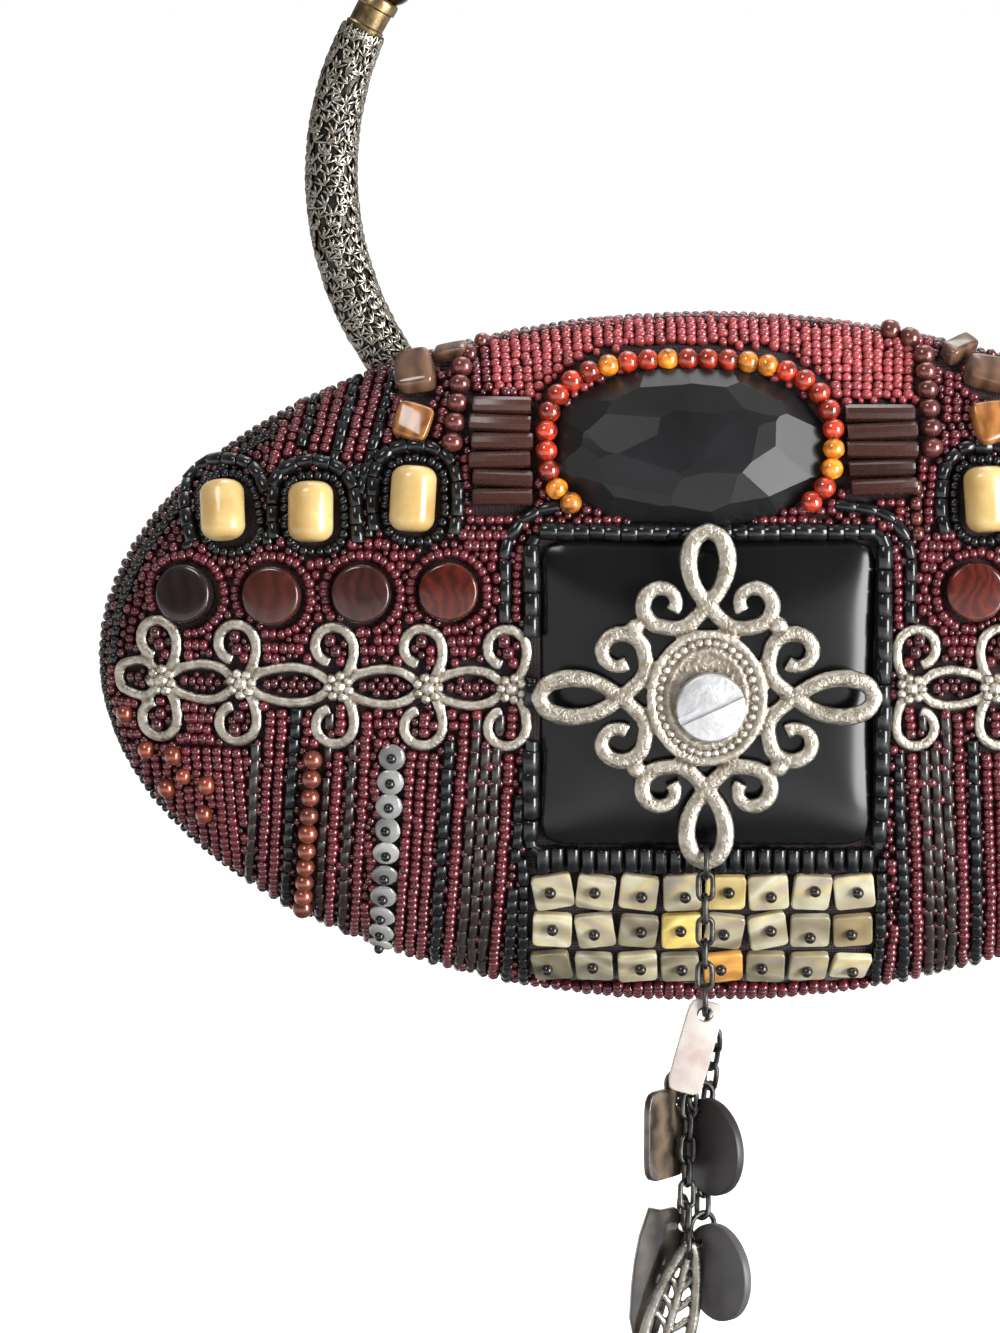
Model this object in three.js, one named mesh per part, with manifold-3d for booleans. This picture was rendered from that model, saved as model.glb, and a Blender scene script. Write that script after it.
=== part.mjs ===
// Beaded evening bag: an oval pouch with stones, cast trims, a tube handle and a chain drop.
// Millimetres, +Z up, front towards -Y. The origin is the underside of the grip, where a hand holds it.
import * as THREE from 'three';
import { mergeVertices } from 'three/addons/utils/BufferGeometryUtils.js';
import Module from 'manifold-3d';

const wasm = await Module();
wasm.setup();

// Pouch, about the middle of its oval
const POUCH_WIDTH = 228;
const POUCH_HEIGHT = 129;
const POUCH_DEPTH = 42;
const DOME_FLATNESS = 2.8;
const DOME_ROLL = 0.55;
const WALL = 2;
const GAP = 0.3;
const MOUTH_WIDTH = 96;
const MOUTH_GAP = 6.4;
const MOUTH_FLOOR = 40;

// Stones and cast medallion on the front
const CABOCHON = { x: -0.8, z: -3.4, width: 61, height: 56.5, squareness: 9 };
const CABOCHON_LIFT = { back: 0.5, rim: 1.8, crown: 1.6 };
const OVAL = { x: -4.2, z: 41.6, width: 46.5, height: 25.6, thick: 6.4 };
const AMBER = { x: -4.1, z: 42.2, halfWidth: 26.3, halfHeight: 14.4, squareness: 2.8, bead: 4, count: 26 };
const AMBER_START = 221;
const AMBER_END = -40;
const MEDALLION = { x: -1, z: -3.3, armReach: 31, wire: 3.4, thick: 2.2, lift: 0.4, sideSqueeze: 1.6 };
const SCROLL = { side: 8.3, out: 17.3, startRadius: 4.1, endRadius: 2.3 };
const BEZEL = { halfWidth: 11.2, halfHeight: 12.8, rim: 2.7, floor: 2.1 };
const CAP = { radius: 6.5, thick: 2.4, x: 0.6, z: -1.4, slotWidth: 1.1, slotDepth: 0.6, slotTurn: 25 };

// Strips, beads, chips and tiles
const STRIP = { z: -2.2, wire: 2.1, thick: 1.5, lift: 0.5, hub: 2.4, loopHalf: 3.2 };
const STRIP_SCROLL = { radius: 3.8, up: 7.3, back: 1.2 };
const STRIP_UNIT_X = [36.8, 52.3, 68.7, 86.8, 101.6];
const STRIP_END_X = 110.4;
const DISC_BEAD = { radius: 5.5, thick: 3.2 };
const BONE_RADIUS = 4.2;
const RIGHT_BONE_SHIFT = -4.6;
const BUGLE = { radius: 1.75, length: 12, pitch: 3.4, lift: 0.6 };
const TILE = { width: 8.05, thick: 1.5, count: 8, left: -33.2, lift: 0.7 };

// Handle and chain
const HANDLE_BACK = 3.5;
const TUBE_ARC = { x: -9.9, z: 91.2, radius: 60.8, foot: 226, top: 155, thick: 9.7, endThick: 7.7 };
const FERRULE = { radius: 4, length: 6, angle: 151.4 };
const KNUCKLE = { x: -58.6, z: 125.8, radius: 3.4 };
const GRIP_ARC = { z: 59.9, radius: 86.6, start: 125.6, thick: 9.7, endThick: 7.7 };
const COLLAR = { radius: 4.1, length: 4.8, angle: 127.7 };
const LINK = { length: 6.2, width: 3.8, wire: 1.1, bite: 0.25 };
const RING_RADIUS = 2.8;
const STRAND = { radius: 1.5, end: -105.4, aside: -2.7 };
const HOLE_RADIUS = 1.4;
const TAG_HOLE_RADIUS = 1.75;
const LEAF = { halfWidth: 4.3, halfHeight: 14, centre: -11.2, lean: 0.7 };
const CHAIN = { x: MEDALLION.x, y: -25.7 };

const HANG_HEIGHT = GRIP_ARC.z + GRIP_ARC.radius - GRIP_ARC.thick / 2;
const HALF_WIDTH = POUCH_WIDTH / 2;
const HALF_HEIGHT = POUCH_HEIGHT / 2;
const HALF_DEPTH = POUCH_DEPTH / 2;
const deg = THREE.MathUtils.degToRad;

const finishes = {
  cloth: { color: 0x4a1d24, roughness: 0.9, metalness: 0 },
  blackStone: { color: 0x0c0d0f, roughness: 0.12, metalness: 0 },
  amber: { color: 0xc24a12, roughness: 0.15, metalness: 0 },
  castSilver: { color: 0xb9b1a2, roughness: 0.45, metalness: 0.9 },
  brightSilver: { color: 0xd6d8dc, roughness: 0.22, metalness: 1 },
  woodBead: { color: 0x4a211d, roughness: 0.25, metalness: 0 },
  bone: { color: 0xdcc37e, roughness: 0.35, metalness: 0 },
  tigerEye: { color: 0x6d4526, roughness: 0.2, metalness: 0 },
  brownGlass: { color: 0x33231f, roughness: 0.4, metalness: 0 },
  shell: { color: 0xb7b096, roughness: 0.25, metalness: 0 },
  copper: { color: 0x8f4231, roughness: 0.3, metalness: 0.4 },
  spangle: { color: 0xa9adb0, roughness: 0.2, metalness: 0.2 },
  gunmetal: { color: 0x3c3b3a, roughness: 0.35, metalness: 1 },
  pearl: { color: 0xe9dcd4, roughness: 0.2, metalness: 0 },
  horn: { color: 0x4a3d33, roughness: 0.35, metalness: 0 },
  embossed: { color: 0x6a6862, roughness: 0.4, metalness: 1 },
  brass: { color: 0xa08855, roughness: 0.35, metalness: 1 },
};

const bag = new THREE.Group();
bag.position.set(0, -HANDLE_BACK, -HANG_HEIGHT);

function addPart(name, geometry, finish) {
  const material = new THREE.MeshStandardMaterial(finishes[finish]);
  const mesh = new THREE.Mesh(geometryOf(solidOf(geometry)), material);
  mesh.name = name;
  bag.add(mesh);
}

// Joining and cutting of closed shapes
function solidOf(geometry) {
  const bare = geometry.clone();
  bare.deleteAttribute('normal');
  bare.deleteAttribute('uv');
  const merged = mergeVertices(bare, 1e-4);
  const vertProperties = new Float32Array(merged.attributes.position.array);
  const triVerts = new Uint32Array(merged.index.array);
  return new wasm.Manifold(new wasm.Mesh({ numProp: 3, vertProperties, triVerts }));
}

function geometryOf(solid) {
  const mesh = solid.getMesh();
  const geometry = new THREE.BufferGeometry();
  geometry.setAttribute('position', new THREE.BufferAttribute(new Float32Array(mesh.vertProperties), 3));
  geometry.setIndex(new THREE.BufferAttribute(new Uint32Array(mesh.triVerts), 1));
  return geometry;
}

function fuse(geometries) {
  return geometryOf(geometries.map(solidOf).reduce((whole, piece) => whole.add(piece)));
}

function cut(geometry, tool) {
  return geometryOf(solidOf(geometry).subtract(solidOf(tool)));
}

// The front of the pouch as a height over its oval, and a seat on it for each piece
function domeShare(rho) {
  return Math.max(0, 1 - rho ** DOME_FLATNESS) ** DOME_ROLL;
}

function frontY(x, z) {
  return -HALF_DEPTH * domeShare(Math.hypot(x / HALF_WIDTH, z / HALF_HEIGHT));
}

function seat(x, z, lift = 0) {
  const step = 0.05;
  const slopeX = (frontY(x + step, z) - frontY(x - step, z)) / (2 * step);
  const slopeZ = (frontY(x, z + step) - frontY(x, z - step)) / (2 * step);
  const out = new THREE.Vector3(slopeX, -1, slopeZ).normalize();
  const up = new THREE.Vector3(0, 0, 1).addScaledVector(out, -out.z).normalize();
  const right = up.clone().cross(out);
  const point = new THREE.Vector3(x, frontY(x, z), z).addScaledVector(out, lift);
  return { point, out, up, right };
}

// Moves a shape made with +X right, +Y up and +Z outward to a place on the front
function seated(geometry, x, z, lift, turn = 0) {
  const place = seat(x, z, lift);
  const matrix = new THREE.Matrix4().makeBasis(place.right, place.up, place.out).setPosition(place.point);
  return geometry.clone().rotateZ(deg(turn)).applyMatrix4(matrix);
}

// The same for a flat piece that faces straight forward
function facing(geometry, x, y, z) {
  return geometry.clone().rotateX(Math.PI / 2).translate(x, y, z);
}

// Closed solid through rings of points, with flat or pointed ends
function loft(rings) {
  const sides = rings[0].length;
  const points = [...rings.flat(), centreOf(rings[0]), centreOf(rings.at(-1))];
  const first = rings.length * sides;
  const index = [];
  for (let j = 0; j < sides; j += 1) {
    const next = (j + 1) % sides;
    index.push(first, next, j);
    for (let i = 0; i + 1 < rings.length; i += 1) {
      const near = i * sides;
      const far = near + sides;
      index.push(near + j, near + next, far + j, near + next, far + next, far + j);
    }
    index.push(first + 1, first - sides + j, first - sides + next);
  }
  const geometry = new THREE.BufferGeometry().setFromPoints(points);
  geometry.setIndex(index);
  return geometry;
}

function centreOf(ring) {
  const sum = new THREE.Vector3();
  ring.forEach((point) => sum.add(point));
  return sum.divideScalar(ring.length);
}

// Ring of an oval or rounded square in the XY plane, at a height
function ovalRing(halfWidth, halfHeight, height, sides, squareness = 2, turn = 0) {
  const ring = [];
  for (let j = 0; j < sides; j += 1) {
    const angle = (2 * Math.PI * (j + turn)) / sides;
    const c = Math.cos(angle);
    const s = Math.sin(angle);
    const reach = (Math.abs(c) ** squareness + Math.abs(s) ** squareness) ** (-1 / squareness);
    ring.push(new THREE.Vector3(halfWidth * reach * c, halfHeight * reach * s, height));
  }
  return ring;
}

// Solid swept through stations, each with a centre, a side and an outward direction, a size and a section
function sweep(stations) {
  const rings = stations.map(({ point, side, out, size, section }) => section.map(([s, o]) => (
    point.clone().addScaledVector(side, s * size).addScaledVector(out, o * size))));
  return loft(rings);
}

function roundSection(sides) {
  const section = [];
  for (let j = 0; j < sides; j += 1) {
    const angle = (2 * Math.PI * j) / sides;
    section.push([Math.cos(angle), Math.sin(angle)]);
  }
  return section;
}

function wireSection(width, thick) {
  return [[-width / 2, 0], [width / 2, 0], [width * 0.34, thick], [-width * 0.34, thick]];
}

function latheOf(profile, sides) {
  return new THREE.LatheGeometry(profile.map(([reach, height]) => new THREE.Vector2(reach, height)), sides);
}

// A piece and its copy, mirrored across the middle of the bag
function addPair(name, sides, geometry, finish) {
  const solid = solidOf(geometry);
  addPart(`${name}_${sides[0]}`, geometryOf(solid), finish);
  addPart(`${name}_${sides[1]}`, geometryOf(solid.mirror([1, 0, 0])), finish);
}

// Pouch walls: an oval bowl for each side, with the mouth cut through both at the top
const SHELL_SIDES = 32;
const OUTER_RHO = [0.28, 0.52, 0.7, 0.84, 0.93, 0.98];
const INNER_RHO = [0.93, 0.7];

function shellRing(rho, inset, y) {
  return ovalRing((HALF_WIDTH - inset) * rho, (HALF_HEIGHT - inset) * rho, y, SHELL_SIDES);
}

function bowl() {
  const rings = [];
  const innerDepth = HALF_DEPTH - WALL;
  INNER_RHO.toReversed().forEach((rho) => rings.push(shellRing(rho, WALL, innerDepth * domeShare(rho))));
  rings.push(shellRing(1, WALL, GAP / 2), shellRing(1, 0, GAP / 2));
  OUTER_RHO.toReversed().forEach((rho) => rings.push(shellRing(rho, 0, HALF_DEPTH * domeShare(rho))));
  const geometry = loft(rings);
  const poles = geometry.attributes.position;
  poles.setZ(poles.count - 2, innerDepth);
  poles.setZ(poles.count - 1, HALF_DEPTH);
  return geometry;
}

function lens(inset) {
  const depth = HALF_DEPTH - inset;
  const rhos = [0.1, ...OUTER_RHO];
  const rings = rhos.map((rho) => shellRing(rho, inset, -depth * domeShare(rho)));
  rings.push(shellRing(1, inset, 0));
  rhos.toReversed().forEach((rho) => rings.push(shellRing(rho, inset, depth * domeShare(rho))));
  return loft(rings).rotateX(Math.PI / 2);
}

const clearance = lens(-0.4);
const mouth = new THREE.BoxGeometry(MOUTH_WIDTH, MOUTH_GAP, HALF_HEIGHT);
mouth.translate(0, 0, MOUTH_FLOOR + HALF_HEIGHT / 2);
addPart('front_panel', cut(bowl().rotateX(Math.PI / 2), mouth), 'cloth');
addPart('back_panel', cut(bowl().rotateX(-Math.PI / 2), mouth), 'cloth');

// Square cabochon: a pillow with a low crown, its back shaped to the pouch
const crownY = -HALF_DEPTH - CABOCHON_LIFT.rim - CABOCHON_LIFT.crown;

function cabochon() {
  const underside = [0.6, 1].map((scale) => cabochonRing(scale, 0).map((point) => (
    point.setZ(-frontY(CABOCHON.x + point.x, CABOCHON.z + point.y) + CABOCHON_LIFT.back))));
  const rim = HALF_DEPTH + CABOCHON_LIFT.rim;
  const face = [
    { scale: 1, height: rim - 1.6 },
    { scale: 0.965, height: rim },
    { scale: 0.7, height: rim + CABOCHON_LIFT.crown * 0.75 },
    { scale: 0.25, height: rim + CABOCHON_LIFT.crown },
  ].map((row) => cabochonRing(row.scale, row.height));
  const geometry = loft([...underside, ...face]);
  const poles = geometry.attributes.position;
  poles.setZ(poles.count - 2, HALF_DEPTH + CABOCHON_LIFT.back);
  return facing(geometry, CABOCHON.x, 0, CABOCHON.z);
}

function cabochonRing(scale, height) {
  const halfWidth = CABOCHON.width / 2 * scale;
  return ovalRing(halfWidth, CABOCHON.height / 2 * scale, height, 20, CABOCHON.squareness, 0.5);
}

addPart('square_cabochon', cabochon(), 'blackStone');

// Faceted oval stone with a table
function ovalStone() {
  const half = [OVAL.width / 2, OVAL.height / 2];
  const rows = [
    { scale: 0.97, height: -3, turn: 0 },
    { scale: 1, height: OVAL.thick * 0.3, turn: 0 },
    { scale: 0.76, height: OVAL.thick * 0.78, turn: 0.5 },
    { scale: 0.42, height: OVAL.thick, turn: 0 },
  ];
  const rings = rows.map((row) => (
    ovalRing(half[0] * row.scale, half[1] * row.scale, row.height, 10, 2.2, row.turn)));
  return cut(seated(loft(rings), OVAL.x, OVAL.z, 0), clearance);
}

addPart('oval_stone', ovalStone(), 'blackStone');

// Amber beads strung on an open oval round the stone
function amberString() {
  const route = [];
  for (let angle = AMBER_START; angle >= AMBER_END; angle -= 3) {
    const ring = ovalRing(AMBER.halfWidth, AMBER.halfHeight, 0, 360, AMBER.squareness);
    const point = ring[(angle + 360) % 360];
    route.push(seat(AMBER.x + point.x, AMBER.z + point.y, AMBER.bead / 2 + 0.45).point);
  }
  const curve = new THREE.CatmullRomCurve3(route);
  const rows = [{ at: 0, size: AMBER.bead * 0.2 }, { at: 0.5, size: AMBER.bead * 0.55 }];
  const stations = [];
  for (let i = 0; i < AMBER.count; i += 1) {
    rows.forEach((row) => stations.push(beadStation(curve, (i + row.at) / AMBER.count, row.size)));
  }
  stations.push(beadStation(curve, 1, rows[0].size));
  return sweep(stations);
}

function beadStation(curve, share, size) {
  const point = curve.getPointAt(share);
  const along = curve.getTangentAt(share);
  const out = new THREE.Vector3(0, -1, 0).addScaledVector(along, along.y).normalize();
  return { point, out, side: out.clone().cross(along), size, section: roundSection(10) };
}

addPart('amber_string', amberString(), 'amber');

// Cast medallion: four arms of two crossing wires each, four balls and an oval bezel
const PETAL_POINTS = [[0, 31], [-2.5, 29.4], [-3.6, 25.6], [-2.7, 21.2], [0, 17.2], [4.2, 13.2]];

// The arms at the sides start nearer to the middle, because the bezel is narrower there
function armWire(mirror, squeeze) {
  const points = PETAL_POINTS.slice();
  for (let angle = -85; angle <= 205; angle += 58) {
    const radius = THREE.MathUtils.mapLinear(angle, -85, 205, SCROLL.startRadius, SCROLL.endRadius);
    points.push([SCROLL.side + radius * Math.cos(deg(angle)), SCROLL.out + radius * Math.sin(deg(angle))]);
  }
  const span = MEDALLION.armReach - PETAL_POINTS.at(-1)[1];
  const curve = new THREE.CatmullRomCurve3(points.map(([side, reach]) => (
    new THREE.Vector3(mirror * side, reach - squeeze * (MEDALLION.armReach - reach) / span, 0))));
  const out = new THREE.Vector3(0, 0, 1);
  const section = wireSection(MEDALLION.wire, MEDALLION.thick);
  const steps = 12;
  const stations = [];
  for (let i = 0; i <= steps; i += 1) {
    const share = i / steps;
    const side = out.clone().cross(curve.getTangentAt(share));
    const size = share < 0.75 ? 0.78 + 0.22 * Math.sin(deg(240 * share)) : 0.78 - 0.3 * (share * 4 - 3);
    stations.push({ point: curve.getPointAt(share), side, out, size, section });
  }
  return sweep(stations);
}

function bezel() {
  const profile = [[0, 0], [1, 0], [1, 1.9], [0.92, BEZEL.rim], [0.84, BEZEL.floor], [0, BEZEL.floor]];
  return latheOf(profile, 16).rotateX(Math.PI / 2).scale(BEZEL.halfWidth, BEZEL.halfHeight, 1);
}

function medallion() {
  const pieces = [bezel()];
  for (let arm = 0; arm < 4; arm += 1) {
    const squeeze = arm % 2 ? MEDALLION.sideSqueeze : 0;
    [-1, 1].forEach((mirror) => pieces.push(armWire(mirror, squeeze).rotateZ(deg(90 * arm))));
    pieces.push(new THREE.IcosahedronGeometry(1.8, 0).translate(13, 13.4, 1.5).rotateZ(deg(90 * arm)));
  }
  return fuse(pieces);
}

const medallionY = crownY - MEDALLION.lift;
addPart('medallion', facing(medallion(), MEDALLION.x, medallionY, MEDALLION.z), 'castSilver');

// Bright cap with a slot, on the bezel
function cap() {
  const { radius, thick } = CAP;
  const profile = [[0, 0], [radius, 0], [radius, thick * 0.7], [radius * 0.92, thick], [0, thick]];
  const disc = latheOf(profile, 14).rotateX(Math.PI / 2);
  const slot = new THREE.BoxGeometry(3 * radius, CAP.slotWidth, 2 * CAP.slotDepth);
  return cut(disc, slot.translate(0, 0, thick).rotateZ(deg(CAP.slotTurn)));
}

const capY = medallionY - BEZEL.floor - GAP;
addPart('medallion_disc', facing(cap(), MEDALLION.x + CAP.x, capY, MEDALLION.z + CAP.z), 'brightSilver');

// Stamped scroll strips: a pierced plate of ringed scrolls and pointed loops, bent over the pouch
function scrollRing(unit, upward, radius, angles) {
  return angles.map((angle) => new THREE.Vector2(
    unit.x + unit.share * (STRIP_SCROLL.back + radius * Math.cos(deg(angle))),
    upward * (STRIP_SCROLL.up + radius * Math.sin(deg(angle)))));
}

// Half of the outline or of a hole between two places, as shares of the way and heights
function between(from, to, rows) {
  return rows.map(([share, height]) => new THREE.Vector2(THREE.MathUtils.lerp(from, to, share), height));
}

// Share of a length along X that is left when the pouch's side is seen from the front
function flatShare(x) {
  return seat(x, STRIP.z).right.x;
}

function stripOutline(units) {
  const half = STRIP.wire / 2;
  const loopEdge = STRIP.loopHalf + half;
  const outline = [];
  units.forEach((unit, i) => {
    outline.push(new THREE.Vector2(unit.x - STRIP.hub * unit.share, -half));
    outline.push(...scrollRing(unit, -1, STRIP_SCROLL.radius + half, [240, 190, 140, 90, 40, -10, -60]));
    outline.push(new THREE.Vector2(unit.x + STRIP.hub * unit.share, -half));
    const next = units[i + 1];
    const rows = next ? [[0.38, -loopEdge], [0.62, -loopEdge]] : [[0.4, -loopEdge], [0.9, -loopEdge * 0.7]];
    outline.push(...between(unit.x, next ? next.x : STRIP_END_X, rows));
  });
  outline.push(new THREE.Vector2(STRIP_END_X + half / 2, 0));
  const upper = outline.slice(0, -1).toReversed().map((point) => new THREE.Vector2(point.x, -point.y));
  return [...outline, ...upper];
}

function stripHoles(units) {
  const holes = [];
  const open = STRIP.loopHalf - STRIP.wire / 2;
  units.forEach((unit, i) => {
    const next = units[i + 1];
    const end = next ? next.x : STRIP_END_X;
    const rows = [[0.16, 0], [0.35, -open], [0.65, -open], [0.84, 0], [0.65, open], [0.35, open]];
    holes.push(between(unit.x, end, rows));
    [-1, 1].forEach((upward) => {
      holes.push(scrollRing(unit, upward, STRIP_SCROLL.radius - STRIP.wire / 2, [0, 60, 120, 180, 240, 300]));
    });
  });
  return holes.map((points) => new THREE.Path(points));
}

function scrollStrip() {
  const units = STRIP_UNIT_X.map((x) => ({ x, share: flatShare(x) }));
  const shape = new THREE.Shape(stripOutline(units));
  shape.holes = stripHoles(units);
  const plate = new THREE.ExtrudeGeometry(shape, { depth: STRIP.thick, bevelEnabled: false });
  const position = plate.attributes.position;
  for (let i = 0; i < position.count; i += 1) {
    const lift = STRIP.lift + position.getZ(i);
    const { point } = seat(position.getX(i), STRIP.z + position.getY(i), lift);
    position.setXYZ(i, point.x, point.y, point.z);
  }
  return plate;
}

addPair('scroll_strip', ['right', 'left'], scrollStrip(), 'castSilver');

// Round and barrel beads, in rows that mirror each other, with the right-hand barrels set further in
const DISC_PLACES = [{ x: 48.4, z: 15.6 }, { x: 64.4, z: 15 }, { x: 81, z: 14.2 }, { x: 97.2, z: 13.8 }];
const BONE_PLACES = [
  { x: 54.6, z: 32, lean: 2, length: 11.8 },
  { x: 73.2, z: 29.2, lean: -3, length: 10.8 },
  { x: 89.2, z: 28.6, lean: -10, length: 10.8 },
];

const discShape = latheOf([[0, 0], [DISC_BEAD.radius, 0], [DISC_BEAD.radius, DISC_BEAD.thick * 0.75],
  [DISC_BEAD.radius * 0.88, DISC_BEAD.thick], [0, DISC_BEAD.thick]], 10).rotateX(Math.PI / 2);

function boneShape(length) {
  const end = length / 2;
  const face = BONE_RADIUS * 0.7;
  return latheOf([[0, -end], [face, -end], [BONE_RADIUS, -end * 0.6], [BONE_RADIUS, end * 0.6],
    [face, end], [0, end]], 10);
}

[-1, 1].forEach((sign, half) => {
  DISC_PLACES.forEach((place, i) => {
    const name = `disc_bead_${half * DISC_PLACES.length + i + 1}`;
    addPart(name, seated(discShape, sign * place.x, place.z, 0.45), 'woodBead');
  });
  BONE_PLACES.forEach((place, i) => {
    const name = `bone_bead_${half * BONE_PLACES.length + i + 1}`;
    const shape = boneShape(place.length);
    const x = sign * place.x + (sign > 0 ? RIGHT_BONE_SHIFT : 0);
    addPart(name, seated(shape, x, place.z, BONE_RADIUS + 0.5, sign * place.lean), 'bone');
  });
});

// Tumbled chips near the feet of the handle
const CHIPS = [
  { x: -54.4, z: 53, width: 7, height: 8, thick: 4.4, turn: 12 },
  { x: -48, z: 57, width: 5.6, height: 3.6, thick: 3.4, turn: 20 },
  { x: -54.4, z: 45.6, width: 5.8, height: 6.6, thick: 3.6, turn: -15 },
  { x: 45.6, z: 57.4, width: 7.2, height: 3.8, thick: 3.6, turn: 24 },
  { x: 52, z: 53, width: 8.6, height: 6.2, thick: 4.4, turn: -20 },
  { x: 52.6, z: 45.6, width: 7.6, height: 6.6, thick: 3.8, turn: 10 },
];
CHIPS.forEach((chip, i) => {
  const shape = new THREE.DodecahedronGeometry(0.55, 0).scale(chip.width, chip.height, chip.thick);
  addPart(`chip_${i + 1}`, seated(shape, chip.x, chip.z, chip.thick / 2 + 0.6, chip.turn), 'tigerEye');
});

// Stacks of tube beads beside the oval stone, one row under another down the slope of the front
const BUGLE_STACKS = [
  { name: 'bugle_stack_left', x: -38.9, top: 48.6, rows: 6, length: BUGLE.length * 0.9 },
  { name: 'bugle_stack_right', x: 31.3, top: 47.4, rows: 5, length: BUGLE.length },
];

function bugleStack(stack) {
  const rows = [];
  let z = stack.top;
  for (let i = 0; i < stack.rows; i += 1) {
    rows.push(seat(stack.x, z, BUGLE.lift));
    z -= BUGLE.pitch * rows[i].up.z;
  }
  const { point: middle, up, out, right } = rows[Math.floor(stack.rows / 2)];
  const flat = (point) => {
    const way = point.clone().sub(middle);
    return new THREE.Vector2(way.dot(up), way.dot(out));
  };
  const front = rows.flatMap((row) => [80, 40, 0, -40, -80].map((angle) => flat(row.point.clone()
    .addScaledVector(row.out, BUGLE.radius * (1 + Math.cos(deg(angle))))
    .addScaledVector(row.up, BUGLE.radius * Math.sin(deg(angle))))));
  const back = rows.toReversed().map((row) => flat(row.point));
  const shape = new THREE.Shape([...front, ...back]);
  const tubes = new THREE.ExtrudeGeometry(shape, { depth: stack.length, bevelEnabled: false });
  const start = middle.clone().addScaledVector(right, -stack.length / 2);
  return tubes.applyMatrix4(new THREE.Matrix4().makeBasis(up, out, right).setPosition(start));
}

BUGLE_STACKS.forEach((stack) => addPart(stack.name, bugleStack(stack), 'brownGlass'));

// Rows of shell tiles under the cabochon
const TILE_ROWS = [
  { z: -41, height: 7.8 },
  { z: -48.8, height: 8 },
  { z: -56.4, height: 8 },
];

function tileSection(height, share) {
  const top = TILE.thick * share;
  return [[-height / 2, 0], [height / 2, 0], [height * 0.45, top], [-height * 0.45, top]];
}

// Each tile rises from a low joint to its full thickness and falls to the next joint
const TILE_RISE = [{ at: 0, share: 0.35 }, { at: 0.08, share: 1 }, { at: 0.92, share: 1 }];

TILE_ROWS.forEach((row, i) => {
  const stations = [];
  for (let column = 0; column <= TILE.count; column += 1) {
    TILE_RISE.slice(0, column < TILE.count ? TILE_RISE.length : 1).forEach((step) => {
      const place = seat(TILE.left + (column + step.at) * TILE.width, row.z, TILE.lift);
      const section = tileSection(row.height, step.share);
      stations.push({ point: place.point, side: place.up, out: place.out, size: 1, section });
    });
  }
  addPart(`tile_row_${i + 1}`, sweep(stations), 'shell');
});

// Strings of larger beads, each as the plain round tube that its beads fill
function roundShape(radius) {
  return new THREE.Shape(roundSection(8).map(([x, y]) => new THREE.Vector2(radius * x, radius * y)));
}

const STRINGS = [
  { name: 'copper_string_left', from: [-73.6, -16.4], to: [-75.8, -45], bead: 3.8, lift: 0.8, finish: 'copper' },
  { name: 'copper_string_right', from: [73.6, -16.4], to: [75.8, -45], bead: 3.8, lift: 0.8, finish: 'copper' },
  { name: 'spangle_string_left', from: [-59, -16], to: [-61.4, -52.4], bead: 3.2, lift: 1, finish: 'spangle' },
  { name: 'spangle_string_right', from: [59, -16], to: [61.4, -52.4], bead: 3.2, lift: 1, finish: 'spangle' },
  { name: 'pearl_string_left', from: [-45.8, 54.6], to: [-47.6, 42.4], bead: 3.6, lift: 0.5, finish: 'copper' },
  { name: 'pearl_string_right', from: [39.4, 56.6], to: [40.4, 41.6], bead: 3.6, lift: 0.5, finish: 'copper' },
];
STRINGS.forEach(({ name, from, to, bead, lift, finish }) => {
  const route = [0, 0.25, 0.5, 0.75, 1].map((share) => {
    const x = THREE.MathUtils.lerp(from[0], to[0], share);
    return seat(x, THREE.MathUtils.lerp(from[1], to[1], share), bead / 2 + lift).point;
  });
  const section = roundShape(bead / 2);
  const extrudePath = new THREE.CatmullRomCurve3(route);
  addPart(name, new THREE.ExtrudeGeometry(section, { steps: 3, extrudePath }), finish);
});

// Handle: two tapered tubes on the seam, brass ends, bead knuckles and a curved grip
function arcPoint(centreX, centreZ, radius, angle) {
  const c = Math.cos(deg(angle));
  const s = Math.sin(deg(angle));
  const point = new THREE.Vector3(centreX + radius * c, HANDLE_BACK, centreZ + radius * s);
  return { point, along: new THREE.Vector3(s, 0, -c), side: new THREE.Vector3(c, 0, s) };
}

function arcTube(arc, centreX, start, end, steps) {
  const out = new THREE.Vector3(0, -1, 0);
  const stations = [];
  for (let i = 0; i <= steps; i += 1) {
    const share = i / steps;
    const place = arcPoint(centreX, arc.z, arc.radius, THREE.MathUtils.lerp(start, end, share));
    const size = THREE.MathUtils.lerp(arc.endThick, arc.thick, Math.sin(Math.PI * share) ** 0.6) / 2;
    stations.push({ point: place.point, side: place.side, out, size, section: roundSection(10) });
  }
  return sweep(stations);
}

function turnedOnArc(profile, place) {
  const turn = new THREE.Quaternion().setFromUnitVectors(new THREE.Vector3(0, 1, 0), place.along);
  return latheOf(profile, 10).applyQuaternion(turn).translate(...place.point.toArray());
}

function ring(length, radius) {
  const half = length / 2;
  return [[0, -half], [radius * 0.92, -half], [radius, 0], [radius * 0.92, half], [0, half]];
}

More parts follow.
